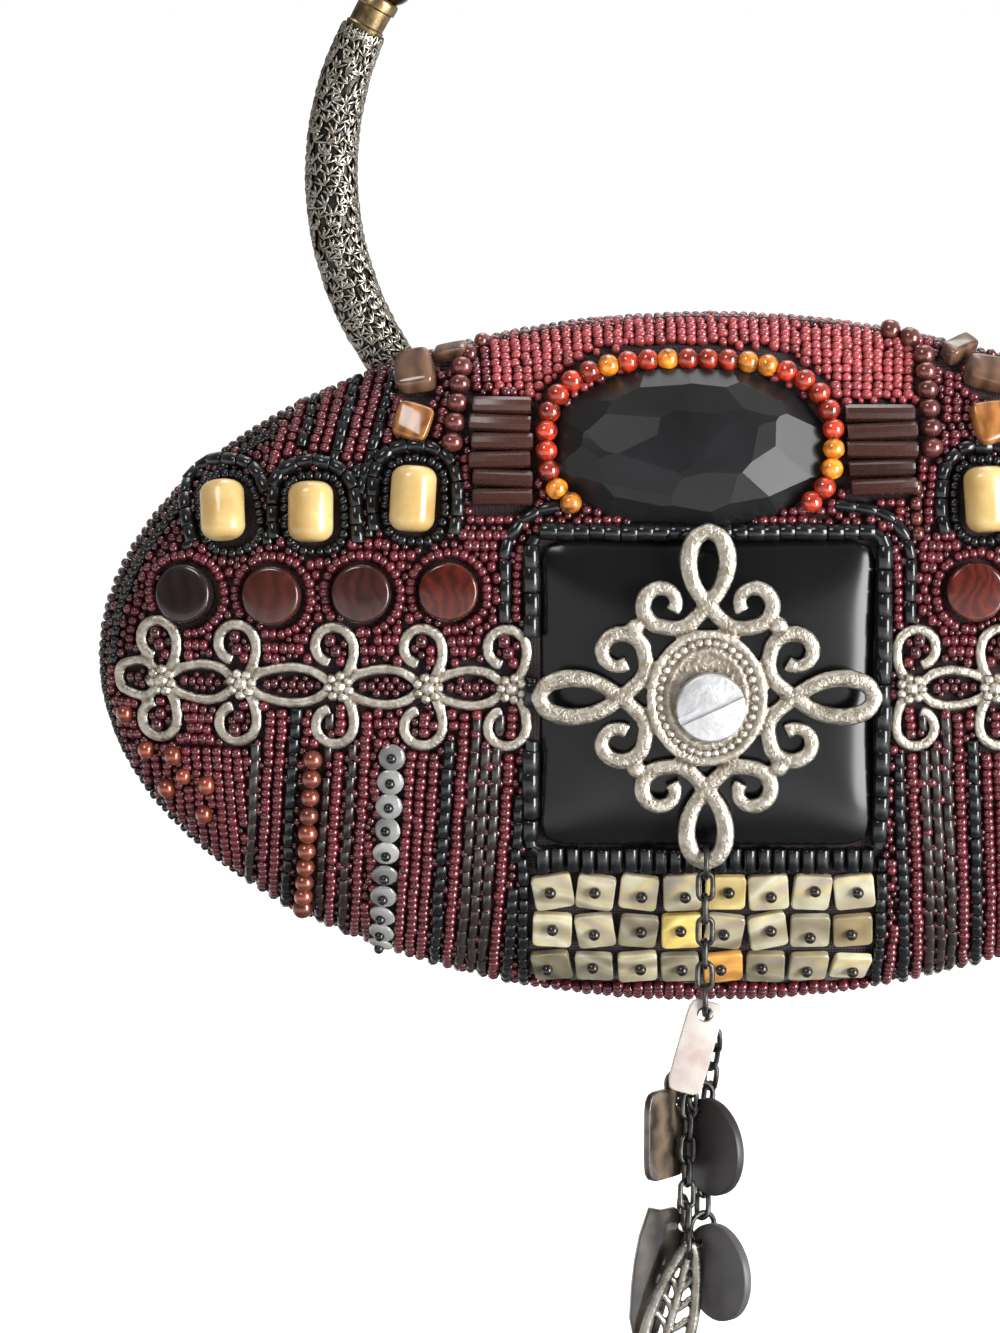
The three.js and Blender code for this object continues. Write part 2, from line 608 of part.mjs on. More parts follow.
const tube = cut(arcTube(TUBE_ARC, TUBE_ARC.x, TUBE_ARC.foot, TUBE_ARC.top, 11), clearance);
addPair('handle_tube', ['left', 'right'], tube, 'embossed');
const ferrulePlace = arcPoint(TUBE_ARC.x, TUBE_ARC.z, TUBE_ARC.radius, FERRULE.angle);
const ferrule = turnedOnArc(ring(FERRULE.length, FERRULE.radius), ferrulePlace);
addPair('ferrule', ['left', 'right'], ferrule, 'brass');
const knuckle = new THREE.SphereGeometry(KNUCKLE.radius, 10, 5).translate(KNUCKLE.x, HANDLE_BACK, KNUCKLE.z);
addPair('knuckle', ['left', 'right'], knuckle, 'brass');
const collarPlace = arcPoint(0, GRIP_ARC.z, GRIP_ARC.radius, COLLAR.angle);
const collar = turnedOnArc(ring(COLLAR.length, COLLAR.radius), collarPlace);
addPair('grip_collar', ['left', 'right'], collar, 'brass');
addPart('handle_grip', arcTube(GRIP_ARC, 0, GRIP_ARC.start, 180 - GRIP_ARC.start, 12), 'embossed');

// Chain drop: links along a route, each turned a quarter from the last and biting into it a little
const wireRadius = LINK.wire / 2;

function loop(halfStraight, bendRadius) {
  const torus = new THREE.TorusGeometry(bendRadius, wireRadius, 5, 10);
  const position = torus.attributes.position;
  for (let i = 0; i < position.count; i += 1) {
    position.setY(i, position.getY(i) + halfStraight * Math.sign(Math.round(position.getY(i) * 100)));
  }
  return torus;
}

const bendRadius = LINK.width / 2 - wireRadius;
const linkSpan = LINK.length - LINK.wire;
const linkPitch = linkSpan - LINK.wire + LINK.bite;

// A loop stands between two points, with its flat side turned about the line from one to the other
function standing(shape, from, to, turn) {
  const along = to.clone().sub(from).normalize();
  const lean = new THREE.Quaternion().setFromUnitVectors(new THREE.Vector3(0, 0, -1), along);
  const centre = from.clone().add(to).multiplyScalar(0.5);
  const upright = shape.clone().rotateX(Math.PI / 2).rotateZ(deg(turn));
  return upright.applyQuaternion(lean).translate(...centre.toArray());
}

function linkRun(route, count, firstTurn) {
  const curve = new THREE.CatmullRomCurve3(route);
  const length = curve.getLength();
  const pieces = [];
  for (let i = 0; i < count; i += 1) {
    const from = curve.getPointAt(Math.min(1, (i * linkPitch) / length));
    const to = curve.getPointAt(Math.min(1, (i * linkPitch + linkSpan) / length));
    pieces.push(standing(loop(linkSpan / 2 - bendRadius, bendRadius), from, to, firstTurn + 90 * i));
  }
  return pieces;
}

function at(x, y, z) {
  return new THREE.Vector3(CHAIN.x + x, CHAIN.y + y, z);
}

// The petal that carries the drop ends on the medallion's lower arm
const petalZ = MEDALLION.z - MEDALLION.armReach;
const hookZ = petalZ;
const firstTop = hookZ - RING_RADIUS + LINK.wire - LINK.bite;
const upperCount = 5;
const upperEnd = firstTop - (upperCount - 1) * linkPitch - linkSpan;
const tagRingZ = upperEnd + LINK.wire - LINK.bite - RING_RADIUS;
const roundRing = loop(0, RING_RADIUS);

function ringAt(x, y, z, turn) {
  return roundRing.clone().rotateX(Math.PI / 2).rotateZ(deg(turn)).translate(CHAIN.x + x, CHAIN.y + y, z);
}

// Lower strand: a plain tube of the chain's width, with a ring for each charm
const strandRoute = [
  at(0, 1.4, tagRingZ - 2.4),
  at(0.6 * STRAND.aside, 2.4, tagRingZ - 9),
  at(STRAND.aside - 0.1, 2.4, tagRingZ - 26),
  at(STRAND.aside - 0.4, 0, STRAND.end),
];

function strand() {
  const extrudePath = new THREE.CatmullRomCurve3(strandRoute);
  return new THREE.ExtrudeGeometry(roundShape(STRAND.radius), { steps: 6, extrudePath });
}

// A charm hangs on the bottom of its ring, and its flat face is square to the ring's wire there
const CHARMS = {
  pearl_tag: { ringZ: tagRingZ, away: 0, turn: 90, front: -1.35, drop: 2.33 },
  horn_tag: { ringZ: -78.2, away: 2.9, turn: 135, front: 2.4, drop: RING_RADIUS },
  black_disc_charm: { ringZ: -80, away: 2.9, turn: 35, front: 2.4, drop: RING_RADIUS },
  shell_charm: { ringZ: -102.2, away: 2.9, turn: 105, front: 1.8, drop: RING_RADIUS },
  grey_disc_charm: { ringZ: -104.6, away: 3.3, turn: 35, front: -0.1, drop: RING_RADIUS },
  leaf_charm: { ringZ: STRAND.end - RING_RADIUS + 1.2, away: 0, turn: 90, front: -0.5, drop: RING_RADIUS },
};

// The tag hangs on the chain's own line, and the lower charms beside it, where their strand runs
function charmSide({ ringZ, away, turn }) {
  return (ringZ < tagRingZ ? STRAND.aside : 0) + away * Math.cos(deg(turn));
}

function charmRing(charm) {
  const { ringZ, away, turn, front } = charm;
  return ringAt(charmSide(charm), front + away * Math.sin(deg(turn)), ringZ, turn);
}

const lowerCharms = Object.values(CHARMS).filter((charm) => charm.ringZ < tagRingZ);
addPart('drop_chain', fuse([
  ringAt(0, 0, hookZ, 90),
  ...linkRun([at(0, 0, firstTop), at(0, 0, upperEnd)], upperCount, 0),
  ringAt(0, 0, tagRingZ, 90),
  strand(),
  ...lowerCharms.map(charmRing),
]), 'gunmetal');

// Charms: flat outlines with a hole, made with the hole at the origin
function plate(outline, thick, holes = [], holeRadius = HOLE_RADIUS) {
  const shape = new THREE.Shape(outline);
  shape.holes = [roundHole(holeRadius), ...holes];
  return new THREE.ExtrudeGeometry(shape, { depth: thick, bevelEnabled: false }).translate(0, 0, -thick / 2);
}

function roundHole(radius) {
  return new THREE.Path(roundSection(10).map(([x, y]) => new THREE.Vector2(radius * x, radius * y)));
}

function ovalOutline(centreX, centreY, halfWidth, halfHeight, sides, squareness) {
  const ring = ovalRing(halfWidth, halfHeight, 0, sides, squareness, 0.5);
  return ring.map((point) => new THREE.Vector2(centreX + point.x, centreY + point.y));
}

function hung(geometry, name, lean) {
  const { ringZ, away, turn, front, drop } = CHARMS[name];
  const turned = geometry.rotateZ(deg(lean)).rotateX(Math.PI / 2).rotateZ(deg(turn - 90));
  const x = CHAIN.x + charmSide(CHARMS[name]);
  return turned.translate(x, CHAIN.y + front + away * Math.sin(deg(turn)), ringZ - drop);
}

const tagOutline = ovalOutline(0, -6.6, 3.35, 9, 12, 6);
addPart('pearl_tag', hung(plate(tagOutline, 1.2, [], TAG_HOLE_RADIUS), 'pearl_tag', -15), 'pearl');
const hornOutline = ovalOutline(-3.2, -5.6, 5.4, 8.6, 12, 6);
addPart('horn_tag', hung(plate(hornOutline, 1.5), 'horn_tag', 0), 'horn');
const blackOutline = ovalOutline(3, -6.2, 9.2, 9.2, 16, 2);
const greyOutline = ovalOutline(4.8, -4.8, 9.2, 9.2, 16, 2);
addPart('black_disc_charm', hung(plate(blackOutline, 1.8), 'black_disc_charm', 0), 'blackStone');
addPart('grey_disc_charm', hung(plate(greyOutline, 1.8), 'grey_disc_charm', 0), 'gunmetal');
const SHELL_POINTS = [[1.6, 1.8], [-2.4, 3.2], [-7.4, 2.2], [-8.4, -8], [-7.4, -19], [-4.4, -26.6],
  [-1.4, -22], [-0.4, -12], [0.4, -3.6], [2, -1]];
const shellOutline = SHELL_POINTS.map(([x, y]) => new THREE.Vector2(x, y));
addPart('shell_charm', hung(plate(shellOutline, 1.4), 'shell_charm', -10), 'horn');

// Openwork leaf: a drop-shaped outline that leaves a wide rim round its opening
function dropOutline(scale, shift) {
  const outline = [];
  for (let j = 0; j < 14; j += 1) {
    const angle = (2 * Math.PI * j) / 14;
    const c = Math.cos(angle);
    const width = scale * LEAF.halfWidth * (1 - 0.35 * c);
    const x = -LEAF.lean * (1 - c) - width * Math.sin(angle);
    outline.push(new THREE.Vector2(x, shift + scale * LEAF.halfHeight * c));
  }
  return outline;
}

const leafHole = new THREE.Path(dropOutline(0.58, LEAF.centre - 1));
const leafShape = plate(dropOutline(1, LEAF.centre), 1.3, [leafHole]);
addPart('leaf_charm', hung(leafShape, 'leaf_charm', -11), 'castSilver');

export default bag;
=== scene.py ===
# %% [markdown]
# # Beaded evening bag
#
# The bag is an oval pouch of stiff cloth, sewn all over with glass beads. Stones, a cast silver
# medallion, stamped trims, shell tiles and strung beads sit on the front. A handle of embossed tubes
# stands above it, and a chain with charms hangs below it.
#
# Everything is modelled in millimetres about the middle of the pouch, with +X to the right, +Z up
# and the front towards -Y. At the end each mesh is moved into the frame's metres in one step. Round
# numbers are then easy to read, and no object is left scaled or turned.

# %% Load the frame
import math

import bpy
import numpy as np
from mathutils import Matrix, Vector


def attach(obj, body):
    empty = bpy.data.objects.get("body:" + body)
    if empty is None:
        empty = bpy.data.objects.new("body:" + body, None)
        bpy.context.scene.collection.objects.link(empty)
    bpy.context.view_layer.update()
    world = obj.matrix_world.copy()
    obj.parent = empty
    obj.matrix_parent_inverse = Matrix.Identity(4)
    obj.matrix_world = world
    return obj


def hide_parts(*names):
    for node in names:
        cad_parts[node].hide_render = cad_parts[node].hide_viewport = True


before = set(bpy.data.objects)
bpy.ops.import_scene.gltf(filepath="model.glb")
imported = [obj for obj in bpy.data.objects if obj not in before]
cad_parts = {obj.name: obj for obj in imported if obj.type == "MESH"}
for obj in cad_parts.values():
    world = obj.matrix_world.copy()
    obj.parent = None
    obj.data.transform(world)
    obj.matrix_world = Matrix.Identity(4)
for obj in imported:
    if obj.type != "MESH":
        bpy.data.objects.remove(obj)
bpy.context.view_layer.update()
HANDLE_BACK, HANG_HEIGHT = 3.5, 141.65
TO_ROW = Matrix.Diagonal((0.001, 0.001, 0.001, 1)) @ Matrix.Translation((0, -HANDLE_BACK, -HANG_HEIGHT))
dice = np.random.default_rng(7)
bpy.ops.object.select_all(action="DESELECT")
print("frame:", len(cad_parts), "nodes")

# %% [markdown]
# ## Camera, floor and light
#
# The photograph looks at the front from a little above. A long lens keeps the oval free of
# perspective. The floor lies well below the bag, which hangs by its handle. A soft light at the right
# stands for a window and puts a highlight on the right of every bead. A weaker one from the upper
# left fills the shadows, and a third lights the top from behind. The sky is darker in front of the
# bag and at its left, as a room is, and the floor has a painted shade: its colour is darker right
# below the bag, so that black stones stay black. As a backdrop the sky is plain white, and so is
# the far floor. Shaders are wired by small helpers: one adds a node, and one feeds its inputs with values or
# links.

# %% Set the camera
ELEVATION, DISTANCE, SCALE = 9.0, 800.0, 0.19
PHOTO_HEIGHT, SENSOR = 1333, 36
TARGET = Vector((-39.1, 0.0, -1.6))
tilt = math.radians(ELEVATION)
stand = TARGET + DISTANCE * Vector((0, -math.cos(tilt), math.sin(tilt)))
bpy.ops.object.camera_add(location=TO_ROW @ stand, rotation=(math.pi / 2 - tilt, 0, 0))
camera = bpy.context.object
camera.name = "photo_camera"
camera.data.sensor_fit = "VERTICAL"
camera.data.sensor_height = SENSOR
camera.data.lens = DISTANCE / SCALE / PHOTO_HEIGHT * SENSOR
camera.data.clip_start = 0.01
bpy.context.scene.camera = camera
print("lens:", round(camera.data.lens, 1), "mm")


# %% Wire a shader
def add_node(owner, kind, inputs=(), **settings):
    """Adds a shader node with its settings, and feeds its inputs."""
    node = owner.node_tree.nodes.new(f"ShaderNode{kind}")
    for name, value in settings.items():
        setattr(node, name, value)
    feed(owner, node, inputs)
    return node


def feed(owner, node, inputs):
    """Gives each named input a plain value, or a link from another node's output."""
    for socket, value in dict(inputs).items():
        if isinstance(value, bpy.types.NodeSocket):
            owner.node_tree.links.new(value, node.inputs[socket])
        else:
            node.inputs[socket].default_value = value


def between(owner, value, start, end, low, high):
    """Runs from low to high while a value runs from start to end."""
    limits = {"Value": value, "From Min": start, "From Max": end, "To Min": low, "To Max": high}
    return add_node(owner, "MapRange", limits).outputs["Result"]


def new_material(name):
    material = bpy.data.materials.new(name)
    material.use_nodes = True
    return material


def polish(material, **sockets):
    """Feeds the Principled shader. Spaces in a socket's name are written as underscores."""
    shader = material.node_tree.nodes["Principled BSDF"]
    feed(material, shader, {name.replace("_", " "): value for name, value in sockets.items()})


print("shader helpers ready")

# %% Lay the floor
FLOOR_Z, NEAR, FAR = -0.62, 0.5, 1.0
bpy.ops.mesh.primitive_plane_add(size=400, location=(0, 0, FLOOR_Z))
floor = bpy.context.object
floor.name = "floor"
floor_with_painted_shade = new_material("floor_with_painted_shade")
floor_place = add_node(floor_with_painted_shade, "TexCoord").outputs["Object"]
floor_reach = add_node(floor_with_painted_shade, "VectorMath", {0: floor_place}, operation="LENGTH").outputs["Value"]
# Painted shade on the floor: its colour is darker near the bag, right under it. Far off it is pale and glows
# a little, as a backdrop.
polish(floor_with_painted_shade, Roughness=0.8, Emission_Color=(1, 1, 1, 1),
       Base_Color=between(floor_with_painted_shade, floor_reach, NEAR, FAR, 0.12, 0.9),
       Emission_Strength=between(floor_with_painted_shade, floor_reach, NEAR, FAR, 0.0, 0.55))
floor.data.materials.append(floor_with_painted_shade)
print("floor at", FLOOR_Z, "m")


# %% Set the lights
def add_light(name, spot, width, height, energy):
    bpy.ops.object.light_add(type="AREA", location=spot)
    light = bpy.context.object
    light.name = name
    light.data.shape = "RECTANGLE"
    light.data.size, light.data.size_y = width, height
    light.data.energy = energy
    light.rotation_euler = (Vector((0, 0, -0.14)) - Vector(spot)).to_track_quat("-Z", "Y").to_euler()


add_light("window_light", (1.15, -0.95, -0.05), 0.6, 1.0, 40)
add_light("fill_light", (-0.7, -1.0, 0.9), 0.5, 0.5, 8)
add_light("top_light", (0.1, 0.4, 1.2), 0.8, 0.8, 10)

# %% Fade the sky
FRONT_SKY, LEFT_SKY = 0.2, 0.3
world = bpy.data.worlds.new("pale_sky")
bpy.context.scene.world = world
world.use_nodes = True
sky_way = add_node(world, "TexCoord").outputs["Generated"]
sky_axes = add_node(world, "SeparateXYZ", {"Vector": sky_way}).outputs
front_fade = between(world, sky_axes["Y"], -0.8, 0.1, FRONT_SKY, 1.0)
left_fade = between(world, sky_axes["X"], -0.75, 0.1, LEFT_SKY, 1.0)
room_light = add_node(world, "Math", {0: front_fade, 1: left_fade}, operation="MULTIPLY").outputs["Value"]
seen = add_node(world, "LightPath").outputs["Is Camera Ray"]
backdrop = add_node(world, "Math", {0: room_light, 1: seen}, operation="MAXIMUM").outputs["Value"]
feed(world, world.node_tree.nodes["Background"], {"Color": (1, 1, 1, 1), "Strength": backdrop})
bpy.context.scene.view_settings.view_transform = "Standard"
print("darkest share of the sky:", FRONT_SKY * LEFT_SKY)

# %% [markdown]
# ## The front of the pouch as a height
#
# Every bead has to sit on the bulging front, so the first helper gives that front as a height over
# the oval. A seat is a place on it, with the directions right, up and outward. The same rule shapes
# the cloth, so beads and cloth can't drift apart.

# %% Seats on the front
HALF_WIDTH, HALF_HEIGHT, HALF_DEPTH = 114.0, 64.5, 21.0
FLATNESS, ROLL = 2.8, 0.55


def unit(arrows):
    """Arrows of length 1."""
    return arrows / np.linalg.norm(arrows, axis=-1, keepdims=True)


def square_to(other, arrows):
    """Arrows made square to others, and of length 1."""
    return unit(arrows - other * (arrows * other).sum(-1, keepdims=True))


def dome_share(rho):
    return np.maximum(1e-9, 1 - np.asarray(rho, float) ** FLATNESS) ** ROLL


def front_y(x, z):
    return -HALF_DEPTH * dome_share(np.hypot(np.asarray(x) / HALF_WIDTH, np.asarray(z) / HALF_HEIGHT))


def seats(x, z, lift=0.0):
    """Points, outward, up and right directions for arrays of places on the front."""
    x, z = np.broadcast_arrays(np.asarray(x, float), np.asarray(z, float))
    step = 0.05
    slope_x = (front_y(x + step, z) - front_y(x - step, z)) / (2 * step)
    slope_z = (front_y(x, z + step) - front_y(x, z - step)) / (2 * step)
    out = unit(np.stack([slope_x, -np.ones_like(x), slope_z], -1))
    up = unit(np.array([0, 0, 1.0]) - out * out[..., 2:])
    right = np.cross(up, out)
    points = np.stack([x, front_y(x, z), z], -1) + out * np.asarray(lift, float)[..., None]
    return points, out, up, right


def seat_matrix(x, z, lift=0.0, turn=0.0):
    """Moves a shape made with +X right, +Y up and +Z outward to a seat, turned in its own plane."""
    point, out, up, right = seats(x, z, lift)
    axes = Matrix((right, up, out)).transposed().to_4x4()
    return Matrix.Translation(point) @ axes @ Matrix.Rotation(math.radians(turn), 4, "Z")


print("front at the middle:", float(front_y(0, 0)), "mm")


# %% Small modelling helpers
def select_only(obj):
    bpy.ops.object.select_all(action="DESELECT")
    obj.select_set(True)
    bpy.context.view_layer.objects.active = obj


def apply_modifier(obj, kind, **settings):
    select_only(obj)
    modifier = obj.modifiers.new(kind.lower(), kind)
    for name, value in settings.items():
        setattr(modifier, name, value)
    bpy.ops.object.modifier_apply(modifier=modifier.name)


def joined(objects, name):
    bpy.ops.object.select_all(action="DESELECT")
    for obj in objects:
        obj.select_set(True)
    bpy.context.view_layer.objects.active = objects[0]
    bpy.ops.object.join()
    objects[0].name = name
    return objects[0]


def set_place(obj):
    """Puts an object's own place, turn and scale into its mesh."""
    select_only(obj)
    bpy.ops.object.transform_apply(location=True, rotation=True, scale=True)
    return obj


def add_box(size, spot, turn=0.0):
    bpy.ops.mesh.primitive_cube_add(size=1, location=spot, rotation=(0, 0, math.radians(turn)))
    bpy.context.object.scale = size
    return set_place(bpy.context.object)


def cut_out(obj, cutter):
    """Takes a cutter's shape out of a piece, and removes the cutter."""
    apply_modifier(obj, "BOOLEAN", operation="DIFFERENCE", solver="EXACT", object=cutter)
    bpy.data.objects.remove(cutter)


def hand_over(obj, material, slot, *nodes, smooth=35):
    """Finishes a piece: shading, material, metres, and the CAD nodes that it stands for."""
    obj.data.materials.clear()
    obj.data.materials.append(material)
    if smooth:
        select_only(obj)
        bpy.ops.object.shade_smooth_by_angle(angle=math.radians(smooth))
    obj.data.transform(TO_ROW)
    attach(obj, "root")
    if nodes:
        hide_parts(*nodes)
    return obj


def count_triangles(obj):
    return sum(len(face.vertices) - 2 for face in obj.data.polygons)


print("helpers ready")

# %% [markdown]
# ## A material helper
#
# Most finishes here are the same idea: a base colour that wanders a little, a roughness that wanders
# with it, and a fine bump. One helper builds that from Noise Textures on Object coordinates. A
# constant such as the coat stays on the shader's own socket.

# %% Mottled finishes
BUMP_DEPTH = 0.0003


def colour_ramp(material, share, *stops):
    """A colour that runs through stops, each a position and a colour."""
    ramp = add_node(material, "ValToRGB", {"Fac": share})
    elements = ramp.color_ramp.elements
    for element, (position, colour) in zip(elements, (stops[0], stops[-1])):
        element.position = position
        element.color = (*colour, 1)
    for position, colour in stops[1:-1]:
        elements.new(position).color = (*colour, 1)
    return ramp.outputs["Color"]


def noise(material, place, grain, detail):
    """A cloudy value between 0 and 1. Grain is in millimetres."""
    inputs = {"Vector": place, "Scale": 1000 / grain, "Detail": detail}
    return add_node(material, "TexNoise", inputs).outputs["Fac"]


def mottled(name, dark, light, grain, roughness=(0.2, 0.35), bump=0.0, bump_grain=None, **sockets):
    """A Principled material that wanders between two colours. Grain is in millimetres."""
    material = new_material(name)
    place = add_node(material, "TexCoord").outputs["Object"]
    cloud = noise(material, place, grain, 4)
    polish(material, Base_Color=colour_ramp(material, cloud, (0.3, dark), (0.7, light)),
           Roughness=between(material, cloud, 0, 1, *roughness), **sockets)
    if bump:
        grit = noise(material, place, bump_grain or grain, 5)
        relief = add_node(material, "Bump", {"Height": grit, "Strength": bump, "Distance": BUMP_DEPTH})
        polish(material, Normal=relief.outputs["Normal"])
    return material


def tinted(name, roughness, **sockets):
    """A Principled material whose colour is the piece's own tint attribute, with light wear."""
    material = new_material(name)
    tint = add_node(material, "Attribute", attribute_name="tint")
    place = add_node(material, "TexCoord").outputs["Object"]
    cloud = add_node(material, "TexNoise", {"Vector": place, "Scale": 900}).outputs["Fac"]
    polish(material, Base_Color=tint.outputs["Color"],
           Roughness=between(material, cloud, 0, 1, *roughness), **sockets)
    return material


def same_place(material):
    """The Object coordinates that a finished material already reads."""
    return material.node_tree.nodes["Texture Coordinate"].outputs["Object"]


print("material helpers ready")

# %% [markdown]
# ## Cloth pouch
#
# The real pouch is two stiffened cloth walls sewn along the rim, with an open mouth at the top. It
# could be lofted from rings, but a UV sphere already has the right rings and poles: its poles are
# turned to the front and back, and its points are moved out to the pouch's own height. Solidify
# gives the wall, and a box takes out the mouth.

# %% Shape the pouch
CLOTH_WALL, MOUTH_SIZE, MOUTH_Z = 1.6, (94, 6, 64), 72
bpy.ops.mesh.primitive_uv_sphere_add(segments=96, ring_count=40, radius=1)
pouch = bpy.context.object
for vertex in pouch.data.vertices:
    rho = min(1.0, math.hypot(vertex.co.x, vertex.co.y))
    angle = math.atan2(vertex.co.y, vertex.co.x)
    depth = HALF_DEPTH * float(dome_share(rho)) if rho < 0.9999 else 0.0
    side = math.copysign(1.0, vertex.co.z)
    vertex.co = (HALF_WIDTH * rho * math.cos(angle), side * depth, HALF_HEIGHT * rho * math.sin(angle))
bpy.ops.object.mode_set(mode="EDIT")
bpy.ops.mesh.select_all(action="SELECT")
bpy.ops.mesh.remove_doubles(threshold=0.001)
bpy.ops.mesh.normals_make_consistent(inside=False)
bpy.ops.object.mode_set(mode="OBJECT")
apply_modifier(pouch, "SOLIDIFY", thickness=CLOTH_WALL, offset=-1)
cut_out(pouch, add_box(MOUTH_SIZE, (0, 0, MOUTH_Z)))
pouch.name = "pouch_cloth_shell"
print("pouch:", count_triangles(pouch), "triangles")


# %% Weave the cloth
def bands(material, wavelength, distortion, direction="X", detail=2):
    """Wavering bands across a direction, with their wavelength in millimetres."""
    # A Wave Texture of scale 1 has 20 / (2 pi) bands to the metre.
    scale = 2 * math.pi * 1000 / wavelength / 20
    inputs = {"Vector": same_place(material), "Scale": scale, "Distortion": distortion, "Detail": detail}
    return add_node(material, "TexWave", inputs, bands_direction=direction).outputs["Fac"]


def woven(name, dark, light, thread):
    """Cloth of crossing threads: two Wave Textures at right angles give the bump."""
    material = mottled(name, dark, light, 9, roughness=(0.75, 0.95), Sheen_Weight=0.25)
    warp, weft = (bands(material, thread, 0.4, direction) for direction in ("X", "Z"))
    weave = add_node(material, "Math", {0: warp, 1: weft}, operation="MAXIMUM").outputs["Value"]
    relief = add_node(material, "Bump", {"Height": weave, "Strength": 0.5, "Distance": 0.0004})
    polish(material, Normal=relief.outputs["Normal"])
    return material


wine_cloth = woven("wine_cloth", (0.009, 0.002, 0.003), (0.02, 0.005, 0.007), 0.6)
hand_over(pouch, wine_cloth, "pouch_cloth", "front_panel", "back_panel", smooth=40)
print("cloth:", wine_cloth.name)

# %% [markdown]
# ## Square cabochon
#
# A thick square of black stone with rounded corners, polished to a low pillow. A cube could be
# bevelled to this, but its crown would keep creases along the diagonals. A UV sphere turned to the
# front has rings all the way to the rim, so each ring is drawn out and raised to the pillow's height:
# the rings are round in the middle and nearly square at the rim. The polish is what shows, so the
# finish has hardly any bump.

# %% Cut the cabochon
CABOCHON = (-0.8, -3.4)
CABOCHON_SIZE, CABOCHON_BACK = (62.2, 57.4), 19.0
CABOCHON_WALL, CABOCHON_ROUND, CABOCHON_CROWN = 1.1, 2.4, 2.3
ROUND, SQUARE = 2.4, 16
FACE_ON = Matrix.Rotation(math.pi / 2, 4, "X")


def squarish(angle, power):
    """How far a rounded box reaches at an angle: power 2 is a circle, and a high one a square."""
    return (np.abs(np.cos(angle)) ** power + np.abs(np.sin(angle)) ** power) ** (-1 / power)


bpy.ops.mesh.primitive_uv_sphere_add(segments=96, ring_count=64, radius=1)
cabochon = bpy.context.object
for vertex in cabochon.data.vertices:
    rho = min(1.0, math.hypot(vertex.co.x, vertex.co.y))
    angle = math.atan2(vertex.co.y, vertex.co.x)
    reach = rho * squarish(angle, ROUND + (SQUARE - ROUND) * rho ** 3)
    rise = CABOCHON_WALL + CABOCHON_ROUND * (1 - rho ** 5) ** 0.5 + CABOCHON_CROWN * (1 - rho ** 2.4)
    vertex.co = (CABOCHON_SIZE[0] / 2 * reach * math.cos(angle),
                 CABOCHON_SIZE[1] / 2 * reach * math.sin(angle),
                 CABOCHON_BACK + (rise if vertex.co.z > 0 else 0))
cabochon.data.transform(Matrix.Translation((CABOCHON[0], 0, CABOCHON[1])) @ FACE_ON)
cabochon.name = "polished_cabochon"
jet = mottled("jet_polish", (0.003, 0.003, 0.0035), (0.006, 0.006, 0.0065), 30, roughness=(0.16, 0.24),
              bump=0.03, bump_grain=9, Specular_IOR_Level=0.3)
hand_over(cabochon, jet, "black_stone", "square_cabochon", smooth=50)
print("cabochon:", [round(v, 1) for v in cabochon.dimensions * 1000], "mm")

# %% [markdown]
# ## Faceted oval stone
#
# The big oval is ground by hand, so its facets are large and uneven. Grinding is a cut with a plane,
# and so is Bisect: a smooth dome is cut by some thirty planes, each tilted a little its own way, and
# every cut is filled. What is left is a stone with flat facets and crisp edges.

# %% Choose the facets
OVAL = dict(x=-4.2, z=41.9, width=48.8, height=28.4, thick=6.8)
ROUGH_SIZE, OVAL_POWER, OVAL_BACK, CUT_DEPTH = 1.04, 2.4, -2.6, 0.97
FACET_ROWS = ((-0.6, 4, 0.0), (0.02, 5, 0.25), (0.6, 4, 0.3))
BRIGHT_FACETS = ((0.86, 0.28, 0.34, (0.47, -0.05, 0.88)), (0.74, -0.38, 0.4, (0.34, -0.24, 0.91)))
half_width, half_height = OVAL["width"] / 2, OVAL["height"] / 2
facets = []
for row, columns, shift in FACET_ROWS:
    for column in range(columns):
        across = (column + 0.5 + shift) / (columns + shift) * 2 - 1
        facets.append((0.78 * across * math.sqrt(1 - 0.6 * row * row), row))
for angle in np.radians(np.arange(8, 368, 24)):
    facets.append((0.93 * math.cos(angle), 0.93 * math.sin(angle)))
cuts = []
for across, upward in facets:
    across, upward = np.array([across, upward]) + dice.uniform(-0.05, 0.05, 2)
    share = math.hypot(across, upward)
    if share > 0.95:
        across, upward = across * 0.95 / share, upward * 0.95 / share
    rise = math.sqrt(1 - across ** 2 - upward ** 2)
    spot = Vector((across * half_width, upward * half_height, rise * OVAL["thick"])) * CUT_DEPTH
    normal = Vector((across / half_width, upward / half_height, rise / OVAL["thick"])).normalized()
    normal += Vector((*dice.uniform(-0.07, 0.07, 2), 0))
    cuts.append((spot, normal))
for across, upward, depth, normal in BRIGHT_FACETS:
    spot = Vector((across * half_width, upward * half_height, depth * OVAL["thick"]))
    cuts.append((spot, Vector(normal)))
cuts.append((Vector((0, 0, OVAL_BACK)), Vector((0, 0, -1))))
print("cuts:", len(cuts))

# %% Grind the oval stone
bpy.ops.mesh.primitive_uv_sphere_add(segments=64, ring_count=32, radius=1)
oval = bpy.context.object
oval.scale = (ROUGH_SIZE * half_width, ROUGH_SIZE * half_height, OVAL["thick"])
set_place(oval)
for vertex in oval.data.vertices:
    angle = math.atan2(vertex.co.y / half_height, vertex.co.x / half_width)
    vertex.co.xy = vertex.co.xy * float(squarish(angle, OVAL_POWER))
bpy.ops.object.mode_set(mode="EDIT")
for spot, normal in cuts:
    bpy.ops.mesh.select_all(action="SELECT")
    bpy.ops.mesh.bisect(plane_co=spot, plane_no=normal.normalized(), use_fill=True, clear_outer=True)
bpy.ops.mesh.select_all(action="SELECT")
bpy.ops.mesh.dissolve_limited(angle_limit=math.radians(1))
bpy.ops.object.mode_set(mode="OBJECT")
oval.data.transform(seat_matrix(OVAL["x"], OVAL["z"], 0.3))
oval.name = "ground_oval_stone"
